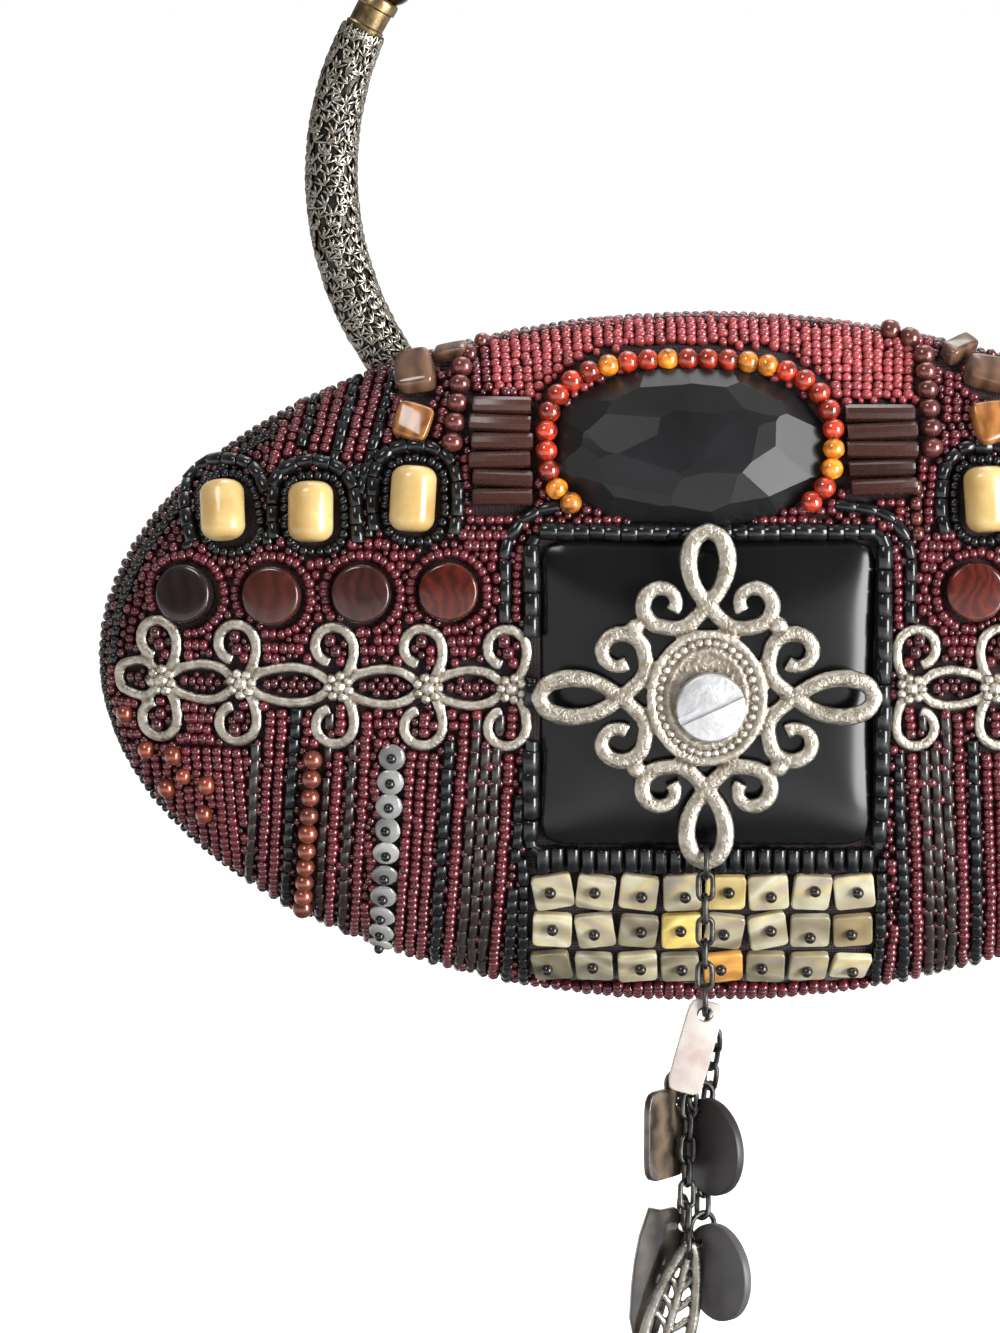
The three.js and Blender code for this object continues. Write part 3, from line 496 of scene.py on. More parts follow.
ground_jet = mottled("ground_jet", (0.007, 0.007, 0.0075), (0.012, 0.0125, 0.0135), 12,
                     roughness=(0.24, 0.34), bump=0.05, bump_grain=5, Specular_IOR_Level=0.25)
hand_over(oval, ground_jet, "black_stone", "oval_stone", smooth=0)
print("oval stone:", len(oval.data.polygons), "facets and sides")

# %% [markdown]
# ## One bead, many beads
#
# A bead is modelled once with a few dozen faces. Copying it as an object thousands of times would be
# slow, so its points are read into an array, and one mesh is built that holds every copy. Each copy
# gets its place, the direction of its thread, its size and its own tint.


# %% Read a shape and strew it
def read_points(obj):
    """The places of a mesh's points, as rows."""
    flat = np.empty(len(obj.data.vertices) * 3)
    obj.data.vertices.foreach_get("co", flat)
    return flat.reshape(-1, 3)


def take_shape(obj):
    """Reads a modelled shape as points and faces, and removes the object."""
    points = read_points(obj)
    faces = [tuple(face.vertices) for face in obj.data.polygons]
    bpy.data.objects.remove(obj)
    return points, faces


def strew(name, shape, points, along, out, sizes, tints):
    """One mesh of many copies: X lies along the thread, Z outward, and each copy has its own tint."""
    corners, faces = shape
    count, each = len(points), len(corners)
    sizes = np.broadcast_to(np.asarray(sizes, float), (count, 3))
    side = np.cross(out, along)
    local = corners[None] * sizes[:, None]
    placed = points[:, None] + local[..., :1] * along[:, None] + local[..., 1:2] * side[:, None]
    placed = placed + local[..., 2:] * out[:, None]
    starts = np.cumsum([0] + [len(face) for face in faces])
    loops = (np.concatenate(faces)[None] + each * np.arange(count)[:, None]).ravel()
    mesh = bpy.data.meshes.new(name)
    mesh.vertices.add(count * each)
    mesh.loops.add(len(loops))
    mesh.polygons.add(count * len(faces))
    mesh.vertices.foreach_set("co", placed.ravel())
    mesh.loops.foreach_set("vertex_index", loops)
    first = (starts[:-1][None] + starts[-1] * np.arange(count)[:, None]).ravel()
    mesh.polygons.foreach_set("loop_start", first)
    mesh.update(calc_edges=True)
    tint = mesh.attributes.new("tint", "FLOAT_COLOR", "POINT")
    shades = np.concatenate([np.broadcast_to(np.asarray(tints, float), (count, 3)), np.ones((count, 1))], 1)
    tint.data.foreach_set("color", np.repeat(shades, each, axis=0).ravel())
    obj = bpy.data.objects.new(name, mesh)
    bpy.context.collection.objects.link(obj)
    return obj


print("beads can be strewn")


# %% Model the small beads
def select_faces(obj, test):
    """Selects in face mode the faces whose middle and normal pass a test, and leaves edit mode on."""
    select_only(obj)
    bpy.ops.object.mode_set(mode="EDIT")
    bpy.ops.mesh.select_mode(type="FACE")
    bpy.ops.mesh.select_all(action="DESELECT")
    bpy.ops.object.mode_set(mode="OBJECT")
    for face in obj.data.polygons:
        face.select = bool(test(face.center, face.normal))
    bpy.ops.object.mode_set(mode="EDIT")


def round_rims(obj, test, offset, segments):
    """Bevels the edges of the faces that pass a test."""
    select_faces(obj, test)
    bpy.ops.mesh.bevel(offset=offset, segments=segments)
    bpy.ops.object.mode_set(mode="OBJECT")


def round_bead(segments, rings):
    """A round bead of radius 1 with its hole along X."""
    bpy.ops.mesh.primitive_uv_sphere_add(segments=segments, ring_count=rings, radius=1,
                                         rotation=(0, math.pi / 2, 0))
    return take_shape(set_place(bpy.context.object))


def tube_bead(sides, length, lip, segments):
    """A tube of radius 1 with its hole along X, and its ends rounded or a little broken."""
    bpy.ops.mesh.primitive_cylinder_add(vertices=sides, radius=1, depth=length, rotation=(0, math.pi / 2, 0))
    bead = set_place(bpy.context.object)
    round_rims(bead, lambda middle, normal: abs(normal.x) > 0.9, lip, segments)
    return take_shape(bead)


fine_bead = round_bead(16, 10)
seed_bead = tube_bead(8, 1.6, 0.6, 2)
cut_tube = tube_bead(8, 2, 0.12, 1)
print("bead faces:", len(fine_bead[1]), len(seed_bead[1]), len(cut_tube[1]))


# %% Spread beads along a line
def varied(colour, count, spread=0.15):
    """Many tints round one colour: some beads are lighter and some darker."""
    return np.asarray(colour) * (1 + spread * dice.standard_normal((count, 1))).clip(0.5, 1.6)


def running_length(line):
    """The length of a line of points, up to each of them."""
    return np.concatenate([[0], np.cumsum(np.linalg.norm(np.diff(line, axis=0), axis=1))])


def smooth_path(points, spacing):
    """An even Catmull-Rom line through points, with a step of about the spacing."""
    points = np.asarray(points, float)
    ends = np.vstack([2 * points[0] - points[1], points, 2 * points[-1] - points[-2]])
    share = np.linspace(0, 1, 16, endpoint=False)[:, None]
    pieces = []
    for a, b, c, d in zip(ends, ends[1:], ends[2:], ends[3:]):
        pieces.append(0.5 * (2 * b + (c - a) * share + (2 * a - 5 * b + 4 * c - d) * share ** 2
                             + (3 * b - a - 3 * c + d) * share ** 3))
    line = np.vstack([*pieces, points[-1:]])
    length = running_length(line)
    steps = max(2, int(round(length[-1] / spacing)) + 1)
    even = np.linspace(0, length[-1], steps)
    return np.stack([np.interp(even, length, line[:, k]) for k in range(line.shape[1])], -1)


def headings(line):
    return unit(np.gradient(line, axis=0))


print("thread helpers ready")

# %% [markdown]
# ## Amber ring
#
# The open ring round the oval is strung from pressed amber: mostly red, with some honey-coloured
# beads between. The colour changes inside each bead, so the finish makes the bead's own tint darker
# and lighter in flakes, and lets a little light through.

# %% String the amber
AMBER = dict(x=-4.1, z=42.2, half_width=26.3, half_height=14.4)
AMBER_COUNT, AMBER_POWER, AMBER_LIFT = 27, 2.8, 2.4
HONEY = {0, 1, 9, 12, 16, 17, 23, 24}
HONEY_TINT, RED_TINT = (0.78, 0.25, 0.015), (0.42, 0.03, 0.008)
angles = np.radians(np.linspace(221, -40, 200))
reach = squarish(angles, AMBER_POWER)
ring_x = AMBER["x"] + AMBER["half_width"] * reach * np.cos(angles)
ring_z = AMBER["z"] + AMBER["half_height"] * reach * np.sin(angles)
ring_line = seats(ring_x, ring_z, AMBER_LIFT)[0]
amber_line = smooth_path(ring_line, running_length(ring_line)[-1] / (AMBER_COUNT - 1))
amber_tints = np.array([HONEY_TINT if i in HONEY else RED_TINT for i in range(len(amber_line))])
amber_tints = amber_tints * dice.uniform(0.55, 1.25, (len(amber_line), 1))
along = headings(amber_line)
amber_out = square_to(along, np.array([[0.0, -1.0, 0.0]]))
amber = strew("amber_beads", fine_bead, amber_line, along, amber_out, (2.0, 2.1, 2.1), amber_tints)
print("amber beads:", len(amber_line))


# %% Cloud the amber
def clouded(name, flake, depth, **sockets):
    """Tinted resin with darker and lighter flakes inside."""
    material = tinted(name, (0.06, 0.14), **sockets)
    tint = material.node_tree.nodes["Attribute"].outputs["Color"]
    flakes = add_node(material, "TexVoronoi", {"Vector": same_place(material), "Scale": 1000 / flake})
    share = between(material, flakes.outputs["Distance"], 0, 1, *depth)
    shade = add_node(material, "VectorMath", {0: tint, "Scale": share}, operation="SCALE")
    polish(material, Base_Color=shade.outputs["Vector"])
    return material


amber_resin = clouded("amber_resin", 1.6, (2.3, 0.2), Transmission_Weight=0.35, IOR=1.54, Coat_Weight=0.8)
hand_over(amber, amber_resin, "amber", "amber_string", smooth=60)
print("amber:", count_triangles(amber), "triangles")

# %% [markdown]
# ## Cast silver
#
# The medallion is a casting of bent wires: each of its four arms is a petal whose two wires cross and
# end in a scroll. Bent wires are curves with a round section here. They are joined with the bezel,
# flattened, and melted into one skin with a voxel Remesh, as solder melts them on the real piece.
# Tarnish stays in hollows and the high places are rubbed bright, so a wear value is measured on the
# mesh and kept as an attribute that the finish reads.


# %% Bend wires and melt them
def bent_wire(line, radii):
    """A round wire along a line of points, as a mesh."""
    curve = bpy.data.curves.new("wire", "CURVE")
    curve.dimensions = "3D"
    curve.bevel_depth = 1
    curve.bevel_resolution = 3
    curve.use_fill_caps = True
    spline = curve.splines.new("POLY")
    spline.points.add(len(line) - 1)
    for point, spot, radius in zip(spline.points, line, np.broadcast_to(radii, len(line))):
        point.co = (*spot, 1)
        point.radius = radius
    wire = bpy.data.objects.new("wire", curve)
    bpy.context.collection.objects.link(wire)
    select_only(wire)
    bpy.ops.object.convert(target="MESH")
    return bpy.context.object


def melt(obj, voxel, rounds):
    apply_modifier(obj, "REMESH", mode="VOXEL", voxel_size=voxel)
    apply_modifier(obj, "SMOOTH", factor=0.5, iterations=rounds)


print("wires can be bent and melted")


# %% Wear the metal
def keep_wear(obj, gain=2.2):
    """Stores how far each point stands out of its neighbours: 0 in a hollow, 1 on an edge."""
    mesh = obj.data
    count = len(mesh.vertices)
    points, normals = read_points(obj), np.empty(count * 3)
    mesh.vertices.foreach_get("normal", normals)
    normals = normals.reshape(-1, 3)
    pairs = np.empty(len(mesh.edges) * 2, int)
    mesh.edges.foreach_get("vertices", pairs)
    pairs = pairs.reshape(-1, 2)
    both = np.concatenate([pairs, pairs[:, ::-1]])
    way = points[both[:, 1]] - points[both[:, 0]]
    fall = -(way * normals[both[:, 0]]).sum(1) / np.maximum(1e-9, np.linalg.norm(way, axis=1))
    share = np.bincount(both[:, 0], minlength=count).clip(1)
    wear = np.bincount(both[:, 0], fall, count) / share
    for _ in range(3):
        wear = 0.5 * wear + 0.5 * np.bincount(both[:, 0], wear[both[:, 1]], count) / share
    stored = mesh.attributes.new("wear", "FLOAT", "POINT")
    stored.data.foreach_set("value", (0.5 + gain * wear).clip(0, 1))


def stained(material, colour, stain, share):
    """One colour multiplied by another."""
    inputs = {"Factor": share, "A": colour, "B": stain}
    return add_node(material, "Mix", inputs, data_type="RGBA", blend_type="MULTIPLY").outputs["Result"]


def worn_metal(name, tarnish, bright, roughness=(0.28, 0.45), grit=0.5, steps=(0.35, 0.62), grain=2.5):
    """Metal that is dark in its hollows and rubbed bright on its edges."""
    material = mottled(name, (0.5, 0.46, 0.4), (1, 1, 1), grain, roughness, grit, 0.8, Metallic=1.0)
    grime = material.node_tree.nodes["Color Ramp"].outputs["Color"]
    wear = add_node(material, "Attribute", attribute_name="wear").outputs["Fac"]
    rubbed = colour_ramp(material, wear, (steps[0], tarnish), (steps[1], bright))
    polish(material, Base_Color=stained(material, rubbed, grime, 0.9))
    return material


old_silver = worn_metal("old_silver", (0.15, 0.11, 0.068), (0.66, 0.62, 0.55), roughness=(0.3, 0.5),
                        grit=1.0, steps=(0.36, 0.66), grain=1.7)
print("silver finish:", old_silver.name)

# %% Bend the medallion's arms
MEDALLION = dict(x=-1.0, z=-3.3, reach=31.0, wire=3.45)
PETAL = ((0, 31), (-2.5, 29.4), (-3.6, 25.6), (-2.7, 21.2), (0, 17.2), (4.2, 13.2))
SCROLL = dict(side=8.3, out=17.3, start=4.1, end=2.3)
SOLDER = (((13, 13.4, 0.3), 1.75), ((0, 30.9, 0), 1.6))
BEZEL_WIRES = ((10.3, 11.9, 0.95), (7.2, 8.8, 0.55))


def arm_wire(mirror, squeeze, turn):
    points = list(PETAL)
    for angle in np.linspace(-85, 215, 9):
        radius = np.interp(angle, (-85, 215), (SCROLL["start"], SCROLL["end"]))
        bend = math.radians(angle)
        points.append((SCROLL["side"] + radius * math.cos(bend), SCROLL["out"] + radius * math.sin(bend)))
    line = smooth_path(points, 0.6)
    line[:, 0] *= mirror
    line[:, 1] -= squeeze * (MEDALLION["reach"] - line[:, 1]) / (MEDALLION["reach"] - PETAL[-1][1])
    share = np.linspace(0, 1, len(line))
    crossing = np.exp(-((share - 0.27) / 0.06) ** 2) * (0.45 if mirror > 0 else -0.2)
    line = np.column_stack([line, crossing])
    taper = np.interp(share, (0, 0.12, 0.3, 0.75, 0.95, 1), (0.9, 1.06, 0.92, 0.95, 0.78, 0.9))
    wire = bent_wire(line, MEDALLION["wire"] / 2 * taper)
    wire.data.transform(Matrix.Rotation(math.radians(turn), 4, "Z"))
    return wire


wires = [arm_wire(mirror, 1.6 * (arm % 2), 90 * arm) for arm in range(4) for mirror in (-1, 1)]
for arm in range(4):
    for spot, radius in SOLDER:
        bpy.ops.mesh.primitive_ico_sphere_add(subdivisions=3, radius=radius)
        ball = bpy.context.object
        ball.data.transform(Matrix.Rotation(math.radians(90 * arm), 4, "Z") @ Matrix.Translation(spot))
        wires.append(ball)
for half_width, half_height, radius in BEZEL_WIRES:
    turn = np.linspace(0, 2 * math.pi, 97)
    oval_line = np.column_stack([half_width * np.cos(turn), half_height * np.sin(turn), np.full(97, 1.0)])
    wires.append(bent_wire(oval_line, radius))
bpy.ops.mesh.primitive_cylinder_add(vertices=64, radius=1, depth=2.0, location=(0, 0, 0.2))
bpy.context.object.scale = (10.4, 12, 1)
wires.append(set_place(bpy.context.object))
medallion = joined(wires, "cast_medallion")
medallion.data.transform(Matrix.Translation((0, 0, 1.1)) @ Matrix.Diagonal((1, 1, 0.62, 1)))
melt(medallion, 0.34, 5)
print("medallion:", count_triangles(medallion), "triangles")

# %% Set the granules
MEDALLION_Y, GRANULES = 24.8, 36
turn = np.linspace(0, 2 * math.pi, GRANULES, endpoint=False)
spots = np.column_stack([8.75 * np.cos(turn), 10.35 * np.sin(turn), np.full(GRANULES, 1.75)])
ahead = np.column_stack([-np.sin(turn), np.cos(turn), np.zeros(GRANULES)])
upward = np.broadcast_to([0.0, 0.0, 1.0], spots.shape)
granules = strew("granules", fine_bead, spots, ahead, upward, 0.84, (1, 1, 1))
medallion = joined([medallion, granules], "cast_medallion")
keep_wear(medallion)
wear = medallion.data.attributes["wear"].data
for vertex, worn in zip(medallion.data.vertices, wear):
    if vertex.co.z < 1.55 and math.hypot(vertex.co.x / 10, vertex.co.y / 11.6) < 1:
        worn.value *= 0.92
medallion.data.transform(Matrix.Translation((MEDALLION["x"], -MEDALLION_Y, MEDALLION["z"])) @ FACE_ON)
hand_over(medallion, old_silver, "cast_silver", "medallion", smooth=60)
print("medallion with granules:", count_triangles(medallion), "triangles")

# %% Cap the medallion
CAP_RADIUS, CAP_HEIGHT, CAP_ASIDE, CAP_DOWN, CAP_Y = 6.4, 2.4, 0.6, 1.4, 27.2
SLOT_SIZE, SLOT_TURN = (16, 1.5, 1.5), 25
bpy.ops.mesh.primitive_cylinder_add(vertices=48, radius=CAP_RADIUS, depth=CAP_HEIGHT,
                                    location=(0, 0, CAP_HEIGHT / 2))
cap = set_place(bpy.context.object)
round_rims(cap, lambda middle, normal: normal.z > 0.9, 0.5, 3)
cut_out(cap, add_box(SLOT_SIZE, (0, 0, CAP_HEIGHT - 0.1), SLOT_TURN))
cap.name = "bright_cap"
cap_spot = (MEDALLION["x"] + CAP_ASIDE, -CAP_Y, MEDALLION["z"] - CAP_DOWN)
cap.data.transform(Matrix.Translation(cap_spot) @ FACE_ON)
bright_silver = mottled("bright_silver", (0.5, 0.5, 0.51), (0.78, 0.78, 0.79), 4, roughness=(0.38, 0.55),
                        bump=0.4, bump_grain=1.0, Metallic=1.0)
hand_over(cap, bright_silver, "bright_silver", "medallion_disc", smooth=40)
print("cap:", count_triangles(cap), "triangles")

# %% [markdown]
# ## Stamped scroll strips
#
# Each strip is a row of fleurs: a hook of wire above and below a little flower of granules, with a
# pointed loop to the next one. The strip is bent flat first, in the photograph's own X and Z, melted
# into one skin, and then every point is set on its seat on the pouch. Wrapping a flat piece is much
# easier than bending wires over a dome.

# %% Bend and wrap the strips
STRIP_Z = -2.2
STRIP_X = (36.8, 52.3, 68.7, 86.8, 101.6)
STRIP_END = 110.2
STRIP_WIRE = 1.08


def fleurs():
    """Each fleur's place, the place of the next, and how much the front's slope narrows it."""
    for x, end in zip(STRIP_X, (*STRIP_X[1:], STRIP_END)):
        yield x, end, float(seats(x, STRIP_Z)[3][0])


def hook_line(x, share, upward):
    """A stem from the flower up its inner side, over the top and back in a curl."""
    points = [(-0.6, 0.8), (-1.7, 2.8), (-2.5, 5.0)]
    for angle in np.linspace(178, -78, 9):
        radius = np.interp(angle, (-78, 178), (3.1, 3.85))
        bend = math.radians(angle)
        points.append((1.2 + radius * math.cos(bend), 7.3 + radius * math.sin(bend)))
    line = smooth_path([(x + share * u, upward * v) for u, v in points], 0.5)
    return np.column_stack([line, np.zeros(len(line))])


def loop_line(start, end, upward):
    """Half of a pointed loop from one fleur to the next."""
    span = end - start
    turn = 0.9 if end == STRIP_END else 0.8
    points = [(start + 0.08 * span, 0.4), (start + 0.28 * span, 2.7), (start + 0.52 * span, 3.3),
              (start + turn * span, 2.2), (start + 0.99 * span, 0)]
    line = smooth_path([(x, upward * v) for x, v in points], 0.5)
    return np.column_stack([line, np.zeros(len(line))])


def scroll_strip(sign):
    wires, flowers = [], []
    for i, (x, end, share) in enumerate(fleurs()):
        for upward in (-1, 1):
            wires.append(bent_wire(hook_line(x, share, upward), STRIP_WIRE))
            wires.append(bent_wire(loop_line(x, end, upward), STRIP_WIRE * 0.92))
        flowers.append((x, 0.0, 1.35))
        for k in range(7):
            bend = 2 * math.pi * k / 7 + 0.4 * i
            flowers.append((x + share * 2.0 * math.cos(bend), 2.0 * math.sin(bend), 0.95))
    strip = joined(wires, "scroll_strip")
    strip.data.transform(Matrix.Translation((0, 0, 0.7)) @ Matrix.Diagonal((1, 1, 0.6, 1)))
    melt(strip, 0.3, 3)
    spots = np.array([(x, y, 1.55) for x, y, _ in flowers])
    sizes = np.array([[radius] * 3 for _, _, radius in flowers])
    level = np.broadcast_to([1.0, 0.0, 0.0], spots.shape)
    facing = np.broadcast_to([0.0, 0.0, 1.0], spots.shape)
    granules = strew("granules", fine_bead, spots, level, facing, sizes, (1, 1, 1))
    strip = joined([strip, granules], "scroll_strip")
    keep_wear(strip)
    flat = read_points(strip)
    wrapped = seats(sign * flat[:, 0], STRIP_Z + flat[:, 1], 0.6 + flat[:, 2])[0]
    strip.data.vertices.foreach_set("co", wrapped.ravel())
    strip.data.update()
    if sign < 0:
        strip.data.flip_normals()
    return strip


for sign, side in ((-1, "left"), (1, "right")):
    strip = scroll_strip(sign)
    strip.name = f"silver_strip_{side}"
    hand_over(strip, old_silver, "cast_silver", f"scroll_strip_{side}", smooth=60)
    print(strip.name, count_triangles(strip), "triangles")

# %% [markdown]
# ## Larger beads
#
# Round wooden discs, cream bone barrels and tumbled chips are each one bead on the real bag. A
# cylinder with bevelled rims gives the disc, and wider bevels give the barrel. A chip is a cube with
# its corners moved, bevelled and subdivided. Wood has stripes of rings in it, so its finish is a Wave
# Texture that is bent by noise.

# %% Polish the discs
DISCS = ((48.4, 15.6), (64.4, 15.0), (81.0, 14.2), (97.2, 13.8))
DISC_RADIUS, DISC_THICK, DISC_RIM, DISC_LIFT = 5.5, 3.2, 0.8, 0.35
DISC_CROWN = ((0.8, 0.1), (0.6, 0.06), (0.4, 0.02))
DISC_COLOURS = (((0.052, 0.007, 0.004), (0.11, 0.013, 0.006)), ((0.03, 0.009, 0.007), (0.055, 0.015, 0.011)),
                ((0.05, 0.012, 0.008), (0.075, 0.019, 0.013)), ((0.016, 0.009, 0.009), (0.024, 0.013, 0.013)))


def streaked(name, dark, light, wavelength, distortion, **sockets):
    """Wood or stone with wavering bands across X."""
    material = mottled(name, (0.6, 0.6, 0.6), (1, 1, 1), 7, (0.12, 0.24), **sockets)
    clouds = material.node_tree.nodes["Color Ramp"].outputs["Color"]
    wave = bands(material, wavelength, distortion, detail=3)
    streaks = colour_ramp(material, wave, (0, dark), (1, light))
    polish(material, Base_Color=stained(material, streaks, clouds, 1.0))
    return material


def raise_crown(slab, top, steps):
    """Extrudes the front face in steps, each drawn in by a share and raised."""
    for share, rise in steps:
        select_faces(slab, lambda middle, normal: normal.z > 0.999 and middle.z > top - 0.01)
        bpy.ops.mesh.extrude_region_move()
        bpy.ops.transform.resize(value=(share, share, 1), center_override=(0, 0, top))
        bpy.ops.transform.translate(value=(0, 0, rise))
        bpy.ops.object.mode_set(mode="OBJECT")
        top += rise


disc_woods = [streaked(f"disc_wood_{i + 1}", *colours, 2.6 + 0.6 * i, 16, Coat_Weight=0.15,
                       Coat_Roughness=0.06) for i, colours in enumerate(DISC_COLOURS)]
for sign in (-1, 1):
    for i, (x, z) in enumerate(DISCS):
        bpy.ops.mesh.primitive_cylinder_add(vertices=48, radius=DISC_RADIUS, depth=DISC_THICK,
                                            location=(0, 0, DISC_THICK / 2))
        disc = set_place(bpy.context.object)
        round_rims(disc, lambda middle, normal: abs(normal.z) > 0.9, DISC_RIM, 4)
        raise_crown(disc, DISC_THICK, DISC_CROWN)
        number = i + 1 + len(DISCS) * (sign > 0)
        disc.data.transform(seat_matrix(sign * x, z, DISC_LIFT))
        disc.name = f"polished_disc_{number}"
        hand_over(disc, disc_woods[i], "dark_bead", f"disc_bead_{number}", smooth=40)
print("discs:", 2 * len(DISCS))

# %% Turn the bone barrels
BONES = ((54.6, 32.0, 2, 12.0), (73.2, 29.2, -3, 11.0), (89.2, 28.6, -10, 11.0))
BONE_RADIUS, BONE_ROUND, BONE_FLATNESS, BONE_LIFT = 4.2, 2.4, 0.9, 4.3
RIGHT_BONES_IN = 4.6


def bone_side(sign, x):
    """The right-hand barrels sit further in than the left-hand ones."""
    return sign * x - (RIGHT_BONES_IN if sign > 0 else 0)


old_bone = mottled("old_bone", (0.43, 0.26, 0.085), (0.63, 0.45, 0.19), 7, roughness=(0.18, 0.32),
                   bump=0.08, bump_grain=2, Coat_Weight=0.3, Subsurface_Weight=0.1)
for sign in (-1, 1):
    for i, (x, z, lean, length) in enumerate(BONES):
        bpy.ops.mesh.primitive_cylinder_add(vertices=32, radius=BONE_RADIUS, depth=length,
                                            rotation=(math.pi / 2, 0, 0))
        barrel = set_place(bpy.context.object)
        round_rims(barrel, lambda middle, normal: abs(normal.y) > 0.9, BONE_ROUND, 6)
        barrel.data.transform(Matrix.Diagonal((1, 1, BONE_FLATNESS, 1)))
        number = i + 1 + len(BONES) * (sign > 0)
        barrel.data.transform(seat_matrix(bone_side(sign, x), z, BONE_LIFT, sign * lean))
        barrel.name = f"bone_barrel_{number}"
        hand_over(barrel, old_bone, "bone", f"bone_bead_{number}", smooth=50)
print("bone barrels:", 2 * len(BONES))

# %% Tumble the chips
CHIPS = ((-54.4, 53, 7, 8, 4.4, 12, 0), (-48, 57, 5.6, 3.6, 3.4, 20, 0),
         (-54.4, 45.6, 5.8, 6.6, 3.6, -15, 1), (45.6, 57.4, 7.2, 3.8, 3.6, 24, 0),
         (52, 53, 8.6, 6.2, 4.4, -20, 0), (52.6, 45.6, 7.6, 6.6, 3.8, 10, 1))
CHIP_SWELL = 1.12
chip_stones = (streaked("brown_chip", (0.085, 0.042, 0.024), (0.17, 0.088, 0.05), 3.4, 9, Coat_Weight=0.3),
               streaked("honey_chip", (0.21, 0.075, 0.018), (0.42, 0.17, 0.045), 2.8, 9, Coat_Weight=0.3))
for i, (x, z, width, height, thick, turn, kind) in enumerate(CHIPS):
    bpy.ops.mesh.primitive_cube_add(size=1)
    chip = bpy.context.object
    for vertex in chip.data.vertices:
        vertex.co += Vector(dice.uniform(-0.13, 0.13, 3))
    apply_modifier(chip, "BEVEL", width=0.22, segments=2)
    apply_modifier(chip, "SUBSURF", levels=2, render_levels=2)
    size = Matrix.Diagonal((CHIP_SWELL * width, CHIP_SWELL * height, thick, 1))
    chip.data.transform(seat_matrix(x, z, thick / 2 + 0.5, turn) @ size)
    chip.name = f"tumbled_chip_{i + 1}"
    hand_over(chip, chip_stones[kind], "chip_stone", f"chip_{i + 1}", smooth=60)
print("chips:", len(CHIPS))

# %% [markdown]
# ## Tube beads beside the oval
#
# Two stacks of long brown tubes flank the oval. They have narrow flat sides and are silky rather than
# shiny. Each row lies on its own seat, so the stack follows the slope of the front.

# %% Stack the tubes
STACKS = (("left", -38.6, 48.6, 6, 11.2), ("right", 31.0, 47.4, 5, 12.8))
TUBE_STEP, TUBE_LIFT, TUBE_HALVES = 3.35, 2.25, (1.66, 1.85)
silk_brown = tinted("silk_brown", (0.2, 0.34), Specular_IOR_Level=0.45)
long_tube = tube_bead(10, 2, 0.1, 1)
for side, x, top, rows, span in STACKS:
    spots, outs, rights = [], [], []
    z = top
    for row in range(rows):
        point, out, up, right = seats(x, z, TUBE_LIFT)
        tilt = math.radians(dice.uniform(-3, 3))
        spots.append(point + right * dice.uniform(-0.4, 0.4))
        outs.append(out)
        rights.append(right * math.cos(tilt) + up * math.sin(tilt))
        z -= TUBE_STEP * up[2]
    shades = varied((0.04, 0.014, 0.01), rows, 0.25)
    sizes = np.column_stack([span / 2 * dice.uniform(0.94, 1.03, rows), [TUBE_HALVES] * rows])
    stack = strew(f"brown_tubes_{side}", long_tube, np.array(spots), np.array(rights), np.array(outs),
                  sizes, shades)
    hand_over(stack, silk_brown, "brown_bugle", f"bugle_stack_{side}", smooth=20)
print("tubes:", sum(stack[3] for stack in STACKS))

# %% [markdown]
# ## Shell tiles
#
# Three rows of small square tiles, cut from shell and held by a dark bead in the middle of each. No
# two have the same colour: most are grey-green pearl, a few are yellow or orange. Each tile is a
# rounded slab, turned a little, and all tiles of a row are one piece.

# %% Cut and polish the shell
GROWTH = ((0, (0.5, 0.45, 0.34)), (0.3, (1, 0.98, 0.92)), (0.58, (0.84, 0.9, 0.78)),
          (0.8, (1.0, 0.9, 0.58)), (1, (0.72, 0.68, 0.66)))


def nacre(name, **sockets):
    """Pearly shell: the tint is shaded by slow rings of growth and drifts to yellow, green and grey."""
    material = clouded(name, 3.4, (1.2, 0.75), **sockets)
    tint = material.node_tree.nodes["Vector Math"].outputs["Vector"]
    inputs = {"Vector": same_place(material), "Scale": 26, "Distortion": 14, "Detail": 2}
    rings = add_node(material, "TexWave", inputs, wave_type="RINGS").outputs["Fac"]
    polish(material, Base_Color=stained(material, tint, colour_ramp(material, rings, *GROWTH), 0.9))
    return material


def rounded_tile(side, thick, corner, rim):
    """A square tile in the XY plane, with round corners and a round front rim."""
    tile = add_box((side, side, thick), (0, 0, thick / 2))
    bpy.ops.object.mode_set(mode="EDIT")
    bpy.ops.mesh.select_mode(type="EDGE")
    bpy.ops.mesh.select_all(action="DESELECT")
    bpy.ops.object.mode_set(mode="OBJECT")
    points = tile.data.vertices
    for edge in tile.data.edges:
        a, b = (points[i].co for i in edge.vertices)
        edge.select = abs(a.z - b.z) > 1e-6
    bpy.ops.object.mode_set(mode="EDIT")
    bpy.ops.mesh.bevel(offset=corner, segments=2)
    bpy.ops.object.mode_set(mode="OBJECT")
    round_rims(tile, lambda middle, normal: normal.z > 0.9, rim, 4)
    return tile


tile_shape = take_shape(rounded_tile(side=7.3, thick=1.3, corner=0.9, rim=0.35))
tile_pearl = nacre("tile_pearl", Coat_Weight=0.5, Coat_Roughness=0.12)
print("tile faces:", len(tile_shape[1]))

